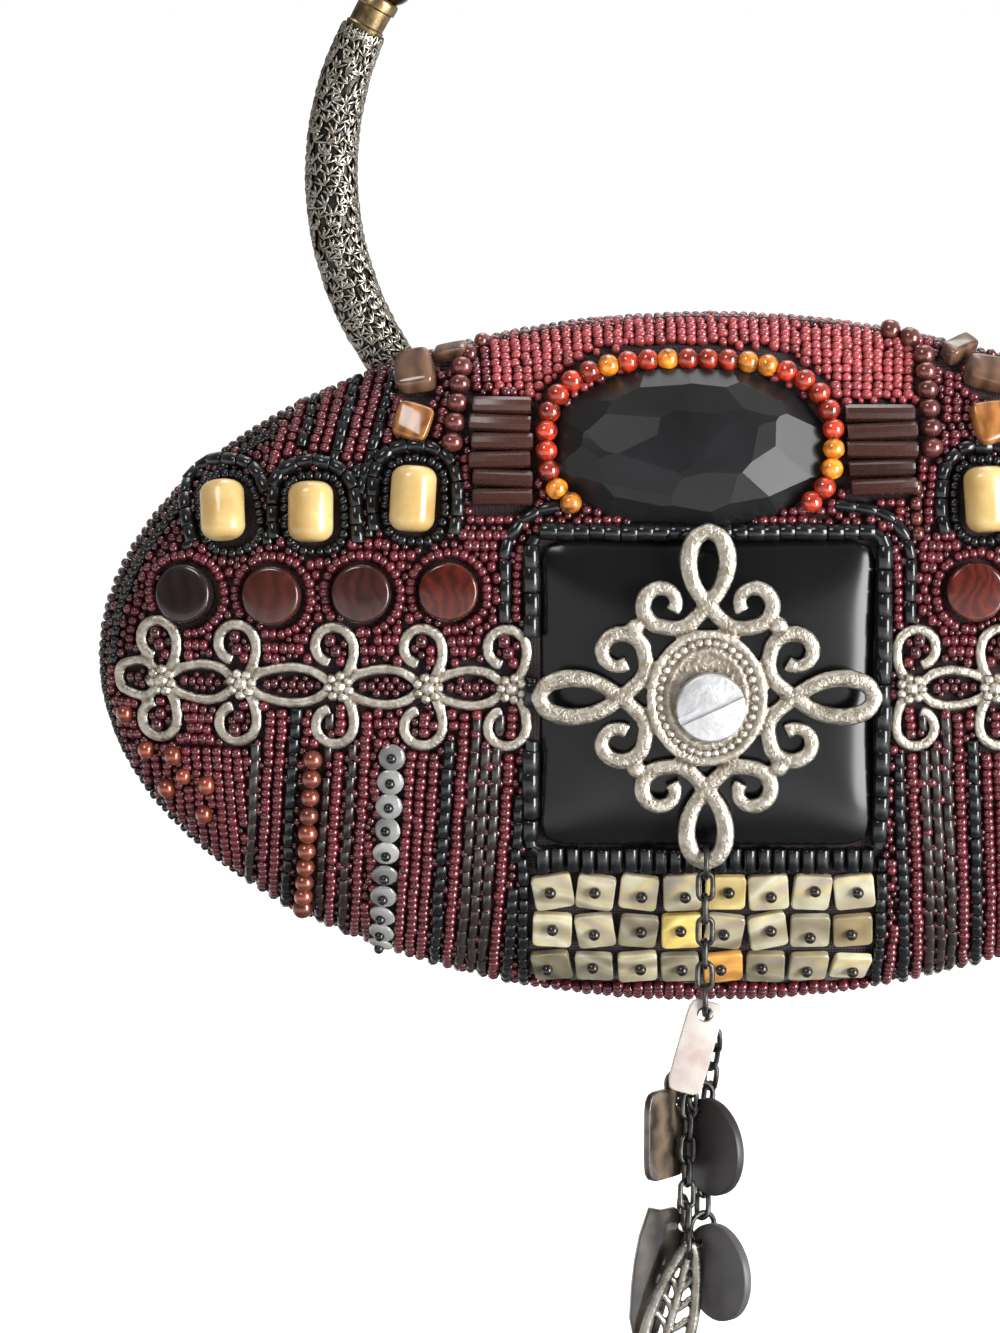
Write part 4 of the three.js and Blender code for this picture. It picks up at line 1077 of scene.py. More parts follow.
# %% Lay the tiles
TILE_ROWS, TILES = (-41.0, -48.8, -56.4), 8
TILE_LEFT, TILE_PITCH, TILE_LIFT = -33.2, 8.05, 0.75
KNOT_RADIUS, KNOT_LIFT, KNOT_TINT = 1.12, 1.85, (0.03, 0.024, 0.02)
ODD_TILES = {(0, 4): (0.62, 0.5, 0.22), (1, 3): (0.75, 0.58, 0.2), (2, 4): (0.72, 0.36, 0.1),
             (1, 7): (0.4, 0.33, 0.2), (2, 0): (0.22, 0.2, 0.15), (2, 1): (0.4, 0.38, 0.3)}
gunmetal_bead = tinted("gunmetal_bead", (0.14, 0.26), Metallic=0.6, Coat_Weight=0.4)
for row, z in enumerate(TILE_ROWS):
    x = TILE_LEFT + TILE_PITCH * (np.arange(TILES) + 0.5)
    points, out, up, right = seats(x, z, TILE_LIFT)
    turn = np.radians(dice.uniform(-9, 9, TILES))[:, None]
    out = unit(out + 0.05 * dice.standard_normal((TILES, 3)))
    right = square_to(out, right * np.cos(turn) + up * np.sin(turn))
    shades = varied((0.45, 0.41, 0.32), TILES, 0.24)
    for (odd_row, column), colour in ODD_TILES.items():
        if odd_row == row:
            shades[column] = colour
    sizes = np.column_stack([dice.uniform(0.97, 1.04, TILES), dice.uniform(0.95, 1.03, TILES),
                             np.ones(TILES)])
    tiles = strew(f"shell_tiles_{row + 1}", tile_shape, points, right, out, sizes, shades)
    hand_over(tiles, tile_pearl, "shell_tile", f"tile_row_{row + 1}", smooth=30)
    aside, upward = dice.uniform(-0.9, 0.9, (2, TILES, 1))
    middles = points + KNOT_LIFT * out + right * aside + np.cross(out, right) * upward
    knots = strew(f"tile_knots_{row + 1}", fine_bead, middles, right, out, KNOT_RADIUS, KNOT_TINT)
    hand_over(knots, gunmetal_bead, "shell_tile", smooth=60)
print("tiles:", TILES * len(TILE_ROWS))

# %% [markdown]
# ## Strings of larger beads
#
# Below the strips a string of copper pearls and one of clear spangles run down to the rim, and brown
# pearls run up beside the tube stacks. A string follows the front: its points are seats along a
# line, and each bead's hole lies along the string. A spangle lies flat and has a dark bead on top.

# %% String pearls and spangles
COPPER_ENDS, SPANGLE_ENDS = ((73.6, -16.0), (75.8, -45.4)), ((59, -15.4), (61.4, -53))
pearl_glass = tinted("pearl_glass", (0.2, 0.32), Metallic=0.55, Coat_Weight=0.6)
clear_spangle = clouded("clear_spangle", 2.5, (1.1, 0.75), Transmission_Weight=0.45, Coat_Weight=0.7)


def string_line(start, end, lift, pitch):
    """Points, outward directions and the string's own direction, evenly along a straight string."""
    share = np.linspace(0, 1, 24)
    x = start[0] + (end[0] - start[0]) * share
    z = start[1] + (end[1] - start[1]) * share
    line = smooth_path(np.column_stack([x, z, seats(x, z, lift)[0]]), 0.05)
    run = running_length(line[:, 2:])
    even = np.linspace(0, run[-1], int(round(run[-1] / pitch)) + 1)
    x, z = (np.interp(even, run, line[:, k]) for k in (0, 1))
    points, out, _, _ = seats(x, z, lift)
    return points, out, headings(points)


def on_side(sign, ends):
    """The two ends of a string, on the left or the right."""
    return [(sign * x, z) for x, z in ends]


for sign, side in ((-1, "left"), (1, "right")):
    points, out, along = string_line(*on_side(sign, COPPER_ENDS), 2.3, 3.55)
    sizes = np.column_stack([dice.uniform(1.75, 2.0, len(points))] * 3)
    shades = varied((0.24, 0.062, 0.036), len(points), 0.25)
    copper = strew(f"copper_pearls_{side}", fine_bead, points, along, out, sizes, shades)
    hand_over(copper, pearl_glass, "copper_bead", f"copper_string_{side}", smooth=60)
    points, out, along = string_line(*on_side(sign, SPANGLE_ENDS), 1.7, 4.7)
    face = unit(out + 0.12 * dice.standard_normal(out.shape))
    across = unit(np.cross(face, np.cross(along, face)))
    discs = strew(f"spangles_{side}", fine_bead, points, across, face, (2.55, 2.55, 0.8),
                  varied((0.4, 0.4, 0.385), len(points), 0.4))
    hand_over(discs, clear_spangle, "spangle", f"spangle_string_{side}", smooth=60)
    knots = strew(f"spangle_knots_{side}", fine_bead, points + 1.1 * face, across, face, 0.98,
                  varied((0.02, 0.02, 0.026), len(points), 0.3))
    hand_over(knots, gunmetal_bead, "spangle", smooth=60)
print("copper, spangles and their knots strung")

# %% String the brown pearls
BROWN = (("left", (-45.8, 54.8), (-47.6, 42.2)), ("right", (39.4, 56.8), (40.4, 41.4)))
for side, start, end in BROWN:
    points, out, along = string_line(start, end, 2.1, 3.7)
    pearls = strew(f"brown_pearls_{side}", fine_bead, points, along, out, (1.85, 2.05, 2.05),
                   varied((0.14, 0.038, 0.034), len(points), 0.2))
    hand_over(pearls, pearl_glass, "copper_bead", f"pearl_string_{side}", smooth=60)
print("brown pearls strung")

# %% [markdown]
# ## Embossed handle
#
# The handle is of brass tube, stamped all over with sprays of small leaves and plated dark. The tube
# is a wire along an arc, a little thicker in its middle. The stamping is real relief: sprays stand in
# staggered rows, each turned its own way, and a spray is a fan of pointed leaves from one foot. The
# wear value is the height over the tube, so the plating stays dark between the leaves.

# %% Follow the handle's arcs
TUBE = dict(x=-9.9, z=91.2, radius=60.8, start=224.4, end=153.6, thick=4.6, end_thick=3.75)
GRIP = dict(x=0.0, z=59.9, radius=86.6, start=126.5, end=53.5, thick=4.6, end_thick=3.75)
old_plate = worn_metal("old_plate", (0.04, 0.037, 0.034), (0.42, 0.395, 0.35), roughness=(0.24, 0.4),
                       grit=0.4, steps=(0.1, 0.9), grain=3)


def leaf_blade():
    """A leaf of half-length 1 along X, pointed at both ends, with a ridge along its middle."""
    bpy.ops.mesh.primitive_uv_sphere_add(segments=4, ring_count=4, radius=1, rotation=(0, math.pi / 2, 0))
    blade = set_place(bpy.context.object)
    for vertex in blade.data.vertices:
        narrow = 1 - abs(vertex.co.x) ** 1.6
        vertex.co.y *= 0.35 + 0.65 * narrow
    return take_shape(blade)


def arc_frame(arc, angle):
    """Points, along, outward from the arc's centre, and tube radius at angles in degrees."""
    bend = np.radians(np.asarray(angle, float))
    share = (np.asarray(angle, float) - arc["start"]) / (arc["end"] - arc["start"])
    away = np.stack([np.cos(bend), np.zeros_like(bend), np.sin(bend)], -1)
    centre = np.array([arc["x"], HANDLE_BACK, arc["z"]]) + arc["radius"] * away
    ahead = np.stack([np.sin(bend), np.zeros_like(bend), -np.cos(bend)], -1)
    swell = np.sin(np.pi * np.clip(share, 0, 1)) ** 0.6
    return centre, ahead, away, arc["end_thick"] + (arc["thick"] - arc["end_thick"]) * swell


blade = leaf_blade()
print("blade faces:", len(blade[1]))

# %% Stamp the tubes
SPRAY_STEP, SPRAYS, FAN, SPRAY_MARGIN = 1.9, 12, (-51, -17, 17, 51), 1.4
STAMP_HEIGHT = 0.4


def stamped_tube(arc, name):
    """A tube along an arc with its stamped leaves, and a wear value that is their height."""
    angles = np.linspace(arc["start"], arc["end"], 64)
    centre, _, _, radius = arc_frame(arc, angles)
    tube = bent_wire(centre, radius)
    rows = int(arc["radius"] * math.radians(arc["start"] - arc["end"]) / SPRAY_STEP)
    spots, alongs, outs, sizes = [], [], [], []
    margin = math.degrees(SPRAY_MARGIN / arc["radius"])
    for row in range(rows):
        foot = arc["start"] + (arc["end"] - arc["start"]) * (row + 0.5) / rows
        for column in range(SPRAYS):
            side = 2 * math.pi * (column + 0.5 * (row % 2) + dice.uniform(-0.15, 0.15)) / SPRAYS
            heading = dice.uniform(-60, 60)
            for spread in FAN:
                bend, reach = math.radians(heading + spread + dice.uniform(-8, 8)), dice.uniform(0.95, 1.3)
                angle = foot - math.degrees(reach * math.cos(bend) / arc["radius"])
                angle = min(max(angle, arc["end"] + margin), arc["start"] - margin)
                point, ahead, away, thick = arc_frame(arc, angle)
                turn = side - reach * math.sin(bend) / thick
                out = away * math.cos(turn) + np.array([0, -1, 0]) * math.sin(turn)
                spots.append(point + out * thick)
                alongs.append(ahead * math.cos(bend) + np.cross(out, ahead) * math.sin(bend))
                outs.append(out)
                sizes.append((1.25 * reach, dice.uniform(0.42, 0.52), dice.uniform(0.36, 0.54)))
    spots, alongs, outs, sizes = (np.array(rows) for rows in (spots, alongs, outs, sizes))
    tube = joined([tube, strew("leaves", blade, spots, alongs, outs, sizes, (1, 1, 1))], name)
    way = read_points(tube) - (arc["x"], HANDLE_BACK, arc["z"])
    angle = np.degrees(np.arctan2(way[:, 2], way[:, 0])) % 360
    height = np.hypot(np.hypot(way[:, 0], way[:, 2]) - arc["radius"], way[:, 1]) - arc_frame(arc, angle)[3]
    wear = tube.data.attributes.new("wear", "FLOAT", "POINT")
    wear.data.foreach_set("value", (height / STAMP_HEIGHT).clip(0, 1))
    return tube


def mirrored(obj):
    obj.data.transform(Matrix.Diagonal((-1, 1, 1, 1)))
    obj.data.flip_normals()
    return obj


left_tube = stamped_tube(TUBE, "stamped_tube_left")
hand_over(left_tube, old_plate, "embossed_metal", "handle_tube_left", smooth=180)
right_tube = mirrored(stamped_tube(TUBE, "stamped_tube_right"))
hand_over(right_tube, old_plate, "embossed_metal", "handle_tube_right", smooth=180)
grip = hand_over(stamped_tube(GRIP, "stamped_grip"), old_plate, "embossed_metal", "handle_grip", smooth=180)
print("grip:", count_triangles(grip), "triangles")

# %% [markdown]
# ## Ferrules, knuckles and collars
#
# Where the tubes end, brass ferrules with a raised band close them, and a bronze bead is the knuckle
# between tube and grip. Ferrules and collars are turned on a lathe, so each is a short wire whose
# radius follows the turned profile.

# %% Turn the brass
aged_brass = mottled("aged_brass", (0.05, 0.036, 0.024), (0.29, 0.205, 0.1), 3, roughness=(0.24, 0.42),
                     bump=0.2, bump_grain=1.5, Metallic=1.0)
BAND = ((-1, 0.86), (-0.94, 0.95), (-0.7, 0.97), (-0.62, 0.88), (0.3, 0.9), (0.38, 1.0), (0.8, 1.0),
        (0.94, 0.95), (1, 0.86))
BRASS_ENDS = (("ferrule", TUBE, 150.75, 7.4, 4.0), ("grip_collar", GRIP, 128.03, 5.8, 4.1))
KNUCKLE_X, KNUCKLE_Z, KNUCKLE_RADIUS = -58.6, 125.8, 3.4


def turned_band(arc, angle, length, radius):
    """A turned ring on an arc, with its profile given as shares of its length and radius."""
    way = np.array(BAND)
    stops = angle - np.degrees(way[:, 0] * length / 2 / arc["radius"])
    return bent_wire(arc_frame(arc, stops)[0], radius * way[:, 1])


for sign, side in ((1, "left"), (-1, "right")):
    for name, arc, angle, length, radius in BRASS_ENDS:
        band = turned_band(arc, angle, length, radius)
        band.name = f"brass_{name}_{side}"
        hand_over(mirrored(band) if sign < 0 else band, aged_brass, "old_brass", f"{name}_{side}", smooth=40)
    bpy.ops.mesh.primitive_uv_sphere_add(segments=24, ring_count=14, radius=KNUCKLE_RADIUS,
                                         location=(KNUCKLE_X * sign, HANDLE_BACK, KNUCKLE_Z))
    knuckle = set_place(bpy.context.object)
    knuckle.name = f"bronze_knuckle_{side}"
    hand_over(knuckle, aged_brass, "old_brass", f"knuckle_{side}", smooth=60)
print("brass turned")

# %% [markdown]
# ## Chain drop
#
# A ring through the medallion's lower petal carries a cable chain, and the charms hang on it by small
# rings. A link is a torus drawn out along its length. Each next link is turned a quarter, so that
# they really pass through each other.

# %% Model a link
CHAIN_X, CHAIN_Y = -1.0, -25.7
HOOK_Z, TAG_Z, LOWER_END, ASIDE = -34.3, -60.3, -105.4, -2.7
RING, PITCH, SPAN = 2.8, 4.25, 5.1
LINK_WIRE, LINK_BEND, LINK_STRAIGHT = 0.52, 1.35, 1.2


def link_shape(half_straight, bend):
    """A link in the XZ plane, drawn out along Z."""
    bpy.ops.mesh.primitive_torus_add(major_radius=bend, minor_radius=LINK_WIRE, major_segments=20,
                                     minor_segments=7, rotation=(math.pi / 2, 0, 0))
    link = set_place(bpy.context.object)
    for vertex in link.data.vertices:
        if abs(vertex.co.z) > 1e-4:
            vertex.co.z += math.copysign(half_straight, vertex.co.z)
    return link


def hang_link(start, end, turn):
    """A link of the chain from one place to another, turned about its own length."""
    link = link_shape(LINK_STRAIGHT, LINK_BEND)
    way = (end - start).normalized()
    lean = Vector((0, 0, -1)).rotation_difference(way).to_matrix().to_4x4()
    middle = Matrix.Translation((start + end) / 2)
    link.data.transform(middle @ lean @ Matrix.Rotation(math.radians(turn), 4, "Z"))
    return link


def on_chain(x, y, z):
    return Vector((CHAIN_X + x, CHAIN_Y + y, z))


def charm_side(z, away, turn):
    """The tag hangs on the chain's own line, and the lower charms beside it."""
    return (ASIDE if z < TAG_Z else 0) + away * math.cos(math.radians(turn))


def ring_at(x, y, z, turn):
    ring = link_shape(0, RING)
    ring.data.transform(Matrix.Translation(on_chain(x, y, z)) @ Matrix.Rotation(math.radians(turn), 4, "Z"))
    return ring


print("links are", SPAN, "mm long and", PITCH, "mm apart")

# %% Link the chain
CHARMS = dict(pearl_tag=(TAG_Z, 0.0, 90, -1.35, 2.33), horn_tag=(-78.2, 2.9, 135, 2.4, RING),
              black_disc_charm=(-80.0, 2.9, 35, 2.4, RING), shell_charm=(-102.2, 2.9, 105, 1.8, RING),
              grey_disc_charm=(-104.6, 3.3, 35, -0.1, RING), leaf_charm=(-107.0, 0.0, 90, -0.5, RING))
# A route is a line of points with this many steps to the millimetre.
ROUTE_STEPS = 10


def on_route(route, reach):
    """The place at a length along a route."""
    return Vector(route[min(len(route) - 1, int(round(reach * ROUTE_STEPS)))])


links = [ring_at(0, 0, HOOK_Z, 90), ring_at(0, 0, TAG_Z, 90)]
for i in range(5):
    top = HOOK_Z - RING + 0.85 - PITCH * i
    links.append(hang_link(on_chain(0, 0, top), on_chain(0, 0, top - SPAN), 90 * i))
route = smooth_path([on_chain(0, 1.2, TAG_Z - 1.6), on_chain(0.6 * ASIDE, 2.4, TAG_Z - 9),
                     on_chain(ASIDE - 0.1, 2.4, TAG_Z - 26), on_chain(ASIDE - 0.4, 0, LOWER_END)],
                    1 / ROUTE_STEPS)
for i in range(int((len(route) - 1) / ROUTE_STEPS / PITCH)):
    links.append(hang_link(on_route(route, i * PITCH), on_route(route, i * PITCH + SPAN), 90 * i + 20))
second = smooth_path([on_chain(1.2, 1.6, TAG_Z - 2.6), on_chain(2.2, 4.6, TAG_Z - 9), on_chain(1.2, 7.8, -80),
                      on_chain(0.4, 7.2, -92), on_chain(0, 2.0, -102.9)], 1 / ROUTE_STEPS)
steps = round(((len(second) - 1) / ROUTE_STEPS - SPAN) / PITCH)
link_steps = int(SPAN * ROUTE_STEPS)
for i in range(steps + 1):
    first = int(i * (len(second) - 1 - link_steps) / steps)
    links.append(hang_link(Vector(second[first]), Vector(second[first + link_steps]), 90 * i + 50))
for name, (z, away, turn, front, drop) in CHARMS.items():
    if name != "pearl_tag":
        links.append(ring_at(charm_side(z, away, turn), front + away * math.sin(math.radians(turn)), z, turn))
chain = joined(links, "cable_chain")
dark_plate = mottled("dark_plate", (0.035, 0.034, 0.033), (0.13, 0.125, 0.115), 2, roughness=(0.3, 0.5),
                     bump=0.2, bump_grain=1, Metallic=1.0)
hand_over(chain, dark_plate, "gunmetal", "drop_chain", smooth=60)
print("links and rings:", len(links))

# %% [markdown]
# ## Charms
#
# The charms are flat pieces with a hole: a slip of mother-of-pearl, a slice of horn, two discs, a
# piece of shell and an openwork leaf. Each is modelled flat with its hole at the origin and then hung
# on its ring. The hole is drilled with a Boolean.


# %% Model a flat charm
def drill(obj, radius):
    bpy.ops.mesh.primitive_cylinder_add(vertices=24, radius=radius, depth=10)
    cut_out(obj, bpy.context.object)


def flat_charm(outline, thick, rim):
    """A plate of an outline, with its rims rounded."""
    mesh = bpy.data.meshes.new("plate")
    mesh.from_pydata([(x, y, -thick / 2) for x, y in outline], [], [range(len(outline))])
    plate = bpy.data.objects.new("plate", mesh)
    bpy.context.collection.objects.link(plate)
    select_only(plate)
    bpy.ops.object.mode_set(mode="EDIT")
    bpy.ops.mesh.select_all(action="SELECT")
    bpy.ops.mesh.extrude_region_move(TRANSFORM_OT_translate={"value": (0, 0, thick)})
    bpy.ops.mesh.select_all(action="SELECT")
    bpy.ops.mesh.normals_make_consistent(inside=False)
    bpy.ops.object.mode_set(mode="OBJECT")
    apply_modifier(plate, "BEVEL", width=rim, segments=3, limit_method="ANGLE", angle_limit=math.radians(50))
    return plate


def oval_outline(x, y, half_width, half_height, sides, squareness):
    angle = 2 * math.pi * (np.arange(sides) + 0.5) / sides
    reach = squarish(angle, squareness)
    return np.column_stack([x + half_width * reach * np.cos(angle), y + half_height * reach * np.sin(angle)])


def hang(obj, name, lean):
    """Hangs a charm on its ring, leaned in its own plane."""
    z, away, turn, front, drop = CHARMS[name]
    bend = math.radians(turn)
    spot = on_chain(charm_side(z, away, turn), front + away * math.sin(bend), z - drop)
    obj.data.transform(Matrix.Translation(spot) @ Matrix.Rotation(bend - math.pi / 2, 4, "Z") @ FACE_ON
                       @ Matrix.Rotation(math.radians(lean), 4, "Z"))


print("charms can be cut, drilled and hung")

# %% Hang the flat charms
SHELL_EDGE = ((1.6, 1.8), (-0.6, 2.2), (-2.4, 3.2), (-5, 2.4), (-7.4, 2.6), (-8.3, -3), (-8.4, -8),
              (-8.1, -13), (-7.4, -19), (-4.4, -26.6), (-1.4, -22), (-0.4, -12), (0.4, -3.6), (2, -1))
mother_of_pearl = mottled("mother_of_pearl", (0.38, 0.275, 0.235), (0.55, 0.52, 0.485), 6,
                          roughness=(0.18, 0.3), bump=0.06, bump_grain=4, Coat_Weight=0.3)
horn = streaked("dark_horn", (0.035, 0.026, 0.02), (0.17, 0.125, 0.085), 3.5, 9, Coat_Weight=0.4)
taupe_shell = streaked("taupe_shell", (0.024, 0.019, 0.016), (0.128, 0.108, 0.092), 5, 7, Coat_Weight=0.5)
dark_wood = mottled("dark_wood", (0.017, 0.013, 0.015), (0.026, 0.02, 0.022), 6, roughness=(0.38, 0.5),
                    bump=0.08, bump_grain=1.5)
grey_stone = mottled("grey_stone", (0.044, 0.041, 0.042), (0.082, 0.077, 0.077), 6, roughness=(0.36, 0.48),
                     bump=0.08, bump_grain=1.5)
FLAT = (("pearl_tag", oval_outline(0, -6.6, 3.35, 9, 40, 6), 1.2, 1.5, -15, mother_of_pearl, "pearl_shell"),
        ("horn_tag", oval_outline(-3.2, -5.6, 5.4, 8.6, 40, 6), 1.5, 1.2, 0, horn, "horn"),
        ("black_disc_charm", oval_outline(3, -6.2, 9.2, 9.2, 48, 2), 1.8, 1.2, 0, dark_wood, "black_stone"),
        ("grey_disc_charm", oval_outline(4.8, -4.8, 9.2, 9.2, 48, 2), 1.8, 1.2, 0, grey_stone, "gunmetal"),
        ("shell_charm", SHELL_EDGE, 1.4, 1.2, -10, taupe_shell, "horn"))
for name, outline, thick, hole, lean, material, slot in FLAT:
    charm = flat_charm(outline, thick, 0.3)
    drill(charm, hole)
    hang(charm, name, lean)
    charm.name = f"hung_{name}"
    hand_over(charm, material, slot, name, smooth=40)
print("flat charms:", len(FLAT))

# %% Bend the leaf
LEAF = dict(half_width=4.0, half_height=13.4, centre=-11.2, lean=0.7)
angle = np.linspace(0, 2 * math.pi, 73)
leaf_x = -LEAF["lean"] * (1 - np.cos(angle)) - LEAF["half_width"] * (1 - 0.35 * np.cos(angle)) * np.sin(angle)
leaf_y = LEAF["centre"] + LEAF["half_height"] * np.cos(angle)
edge = np.column_stack([leaf_x, leaf_y, np.zeros(73)])
stem = smooth_path([(0, 1.2, 0), (-0.5, -8, 0), (-1.1, -16, 0), (-1.4, -24, 0)], 0.6)
wires = [bent_wire(edge, 1.1), bent_wire(stem, 0.85)]
for y in (-6, -10, -14, -18):
    reach = 3.1 - abs(y + 13) * 0.12
    for sign in (-1, 1):
        vein = [(-0.5 - abs(y) * 0.04, y - 1, 0), (-0.5 + sign * reach * 0.5, y + 0.6, 0),
                (-0.8 + sign * reach, y + 2.2, 0)]
        wires.append(bent_wire(smooth_path(vein, 0.5), 0.68))
bpy.ops.mesh.primitive_torus_add(major_radius=2.0, minor_radius=0.62, major_segments=24, minor_segments=8)
wires.append(bpy.context.object)
leaf = joined(wires, "openwork_leaf")
melt(leaf, 0.25, 2)
grains = smooth_path(edge, 1.25)[:-1]
grains_out = np.broadcast_to([0.0, 0.0, 1.0], grains.shape)
grains = strew("grains", fine_bead, grains + 0.45 * grains_out, headings(grains), grains_out, 0.5, (1, 1, 1))
leaf = joined([leaf, grains], "openwork_leaf")
keep_wear(leaf)
hang(leaf, "leaf_charm", -11)
dull_silver = worn_metal("dull_silver", (0.05, 0.045, 0.04), (0.56, 0.53, 0.48), roughness=(0.24, 0.42),
                         grit=0.6, steps=(0.36, 0.7))
hand_over(leaf, dull_silver, "cast_silver", "leaf_charm", smooth=60)
print("leaf:", count_triangles(leaf), "triangles")

# %% [markdown]
# ## Seed beads
#
# The ground between all these pieces is sewn with seed beads, a string at a time. A string is drawn
# as a line in X and Z, spread evenly along the front, and a bead is left out where a stone or another
# bead already sits. The order is that of the real work: first the rings round the stones and the
# stripes, then the ground, and last single beads that close the gaps.

# %% Map the front
MAP_STEP = 0.1
map_x = np.arange(-HALF_WIDTH - 2, HALF_WIDTH + 2, MAP_STEP)
map_z = np.arange(-HALF_HEIGHT - 2, HALF_HEIGHT + 2, MAP_STEP)
taken = np.zeros((len(map_x), len(map_z)), bool)


def block_oval(x, z, half_width, half_height, squareness=2.0, turn=0.0):
    """Marks an oval, or a box with round corners, as taken on a map of the front."""
    reach, bend = math.hypot(half_width, half_height), math.radians(turn)
    i = slice(*np.searchsorted(map_x, (x - reach, x + reach)))
    k = slice(*np.searchsorted(map_z, (z - reach, z + reach)))
    u, v = map_x[i][:, None] - x, map_z[k][None, :] - z
    u, v = u * math.cos(bend) + v * math.sin(bend), v * math.cos(bend) - u * math.sin(bend)
    taken[i, k] |= np.abs(u / half_width) ** squareness + np.abs(v / half_height) ** squareness < 1


def blocked(x, z):
    i = ((np.asarray(x) - map_x[0]) / MAP_STEP).astype(int)
    k = ((np.asarray(z) - map_z[0]) / MAP_STEP).astype(int)
    return taken[i, k]


def block_string(start, end, count, radius):
    """Marks a straight string of beads as taken."""
    for share in np.linspace(0, 1, count):
        x, z = (a + (b - a) * share for a, b in zip(start, end))
        block_oval(x, z, radius, radius)


print("map:", taken.shape)

# %% Keep the places of stones free
TILE_FIELD = (-0.9, -48.7)
block_oval(*CABOCHON, 31.2, 28.8, 14)
block_oval(OVAL["x"], OVAL["z"], 25.2, 14.6, 2.3)
for x, _, z in amber_line:
    block_oval(x, z, 2.7, 2.5)
block_oval(*TILE_FIELD, 33.4, 12.6, 12)
for x, z, width, height, thick, turn, kind in CHIPS:
    block_oval(x, z, width / 2 + 0.6, height / 2 + 0.6, 2.5, turn)
for side, x, top, rows, span in STACKS:
    block_oval(x, top - 1.6 * rows + 1.4, span / 2 + 0.9, 1.68 * rows + 0.6, 10)
for side, start, end in BROWN:
    block_string(start, end, 7, 2.4)
for sign in (-1, 1):
    for x, z in DISCS:
        block_oval(sign * x, z, 6.1, 6.1)
    for x, z, lean, length in BONES:
        block_oval(bone_side(sign, x), z, 4.7, length / 2 + 0.5, 3, sign * lean)
    for ends in (COPPER_ENDS, SPANGLE_ENDS):
        block_string(*on_side(sign, ends), 16, 2.5)
    for x, end, share in fleurs():
        block_oval(sign * x, STRIP_Z, 3.4 * share, 3.4)
        for upward in (-1, 1):
            for line in (hook_line(x, share, upward), loop_line(x, end, upward)):
                for u, v, _ in line[::3]:
                    block_oval(sign * u, STRIP_Z + v, 1.75 * share, 1.75)
print("share of the front that is taken:", round(float(taken.mean()), 2))

# %% Sew a string
sewn, baskets = {}, {}
CELL, SNUG, WANDER = 2.4, 0.83, 0.1
MAROON, ROSE, WINE = (0.098, 0.0095, 0.015), (0.31, 0.045, 0.05), (0.056, 0.0065, 0.01)
RIM = (0.044, 0.006, 0.009)
BLACK, SMOKE, UMBER = (0.006, 0.0065, 0.0075), (0.03, 0.022, 0.019), (0.022, 0.014, 0.012)
SEED = 1.04


def room_for(point, radius):
    """True where no bead that is already sewn comes closer than touching, less a little."""
    cell = tuple(int(v // CELL) for v in point)
    for i in (-1, 0, 1):
        for j in (-1, 0, 1):
            for k in (-1, 0, 1):
                for other, reach in sewn.get((cell[0] + i, cell[1] + j, cell[2] + k), ()):
                    gap = (point[0] - other[0]) ** 2 + (point[1] - other[1]) ** 2 + (point[2] - other[2]) ** 2
                    if gap < (SNUG * (radius + reach)) ** 2:
                        return False
    return True


def place(kind, point, along, out, size, tint):
    """Puts one bead into the basket of its kind and side, and keeps its place for room_for."""
    point = tuple(point)
    sewn.setdefault(tuple(int(v // CELL) for v in point), []).append((point, min(size[1], 1.25)))
    side = "left" if point[0] < 0 else "right"
    baskets.setdefault((kind, side), []).append((point, along, out, size, tint))


def sew(kind, x, z, radius, length, tint, lift=None, check=True):
    """Spreads beads along a line and keeps those that find room. Gives the number sewn."""
    x, z = np.broadcast_arrays(np.asarray(x, float), np.asarray(z, float))
    inside = np.hypot(x / HALF_WIDTH, z / HALF_HEIGHT) < 0.9985
    if inside.sum() < 2:
        return 0
    line = np.column_stack([x[inside], z[inside]])
    heights = seats(line[:, 0], line[:, 1])[0]
    run = running_length(heights)
    count = int(run[-1] / length)
    if count < 1:
        return 0
    even = (np.arange(count) + 0.5) * run[-1] / count
    x, z = np.interp(even, run, line[:, 0]), np.interp(even, run, line[:, 1])
    points, out, up, right = seats(x, z, 0.92 * radius if lift is None else lift)
    aside, upward = WANDER * dice.standard_normal((2, count, 1))
    points = points + aside * right + upward * up
    along = square_to(out, headings(points) if count > 1 else heights[-1:] - heights[:1])
    free = ~blocked(x, z) if check else np.ones(count, bool)
    size = (length / 2 * 0.98 if kind.endswith("tube") else radius * 0.98, radius, radius)
    kept = [i for i in range(count) if free[i] and room_for(points[i], radius)]
    for i in kept:
        place(kind, points[i], along[i], out[i], size, tint)
    return len(kept)


def sew_one(kind, x, z, radius, span, length, tint):
    """Sews a bead on a short level string, on taken places too."""
    sew(kind, (x - span / 2, x + span / 2), z, radius, length, tint, check=False)


def bead_count():
    return sum(len(basket) for basket in baskets.values())


print("needle ready")

# %% [markdown]
# ### Rings and frames
#
# Black tubes frame the cabochon, with a line of maroon seeds and a line of long black tubes outside
# its upper corners. Every bone barrel has a ring of black seeds and a ring of cut tubes, and every
# disc a ring of maroon.


# %% Frame the stones
def rounded_frame(half_width, half_height, corner):
    """A rectangle with round corners, from the middle of its lower side and back to it."""
    spots = [(0, -half_height)]
    for sx, sz, start in ((1, -1, -90), (1, 1, 0), (-1, 1, 90), (-1, -1, 180)):
        for angle in np.radians(np.linspace(start, start + 90, 7)):
            spots.append((sx * (half_width - corner) + corner * math.cos(angle),
                          sz * (half_height - corner) + corner * math.sin(angle)))
    spots.append((0, -half_height))
    spots = np.array(spots)
    run = running_length(spots)
    even = np.arange(0, run[-1], 0.4)
    return np.interp(even, run, spots[:, 0]), np.interp(even, run, spots[:, 1])


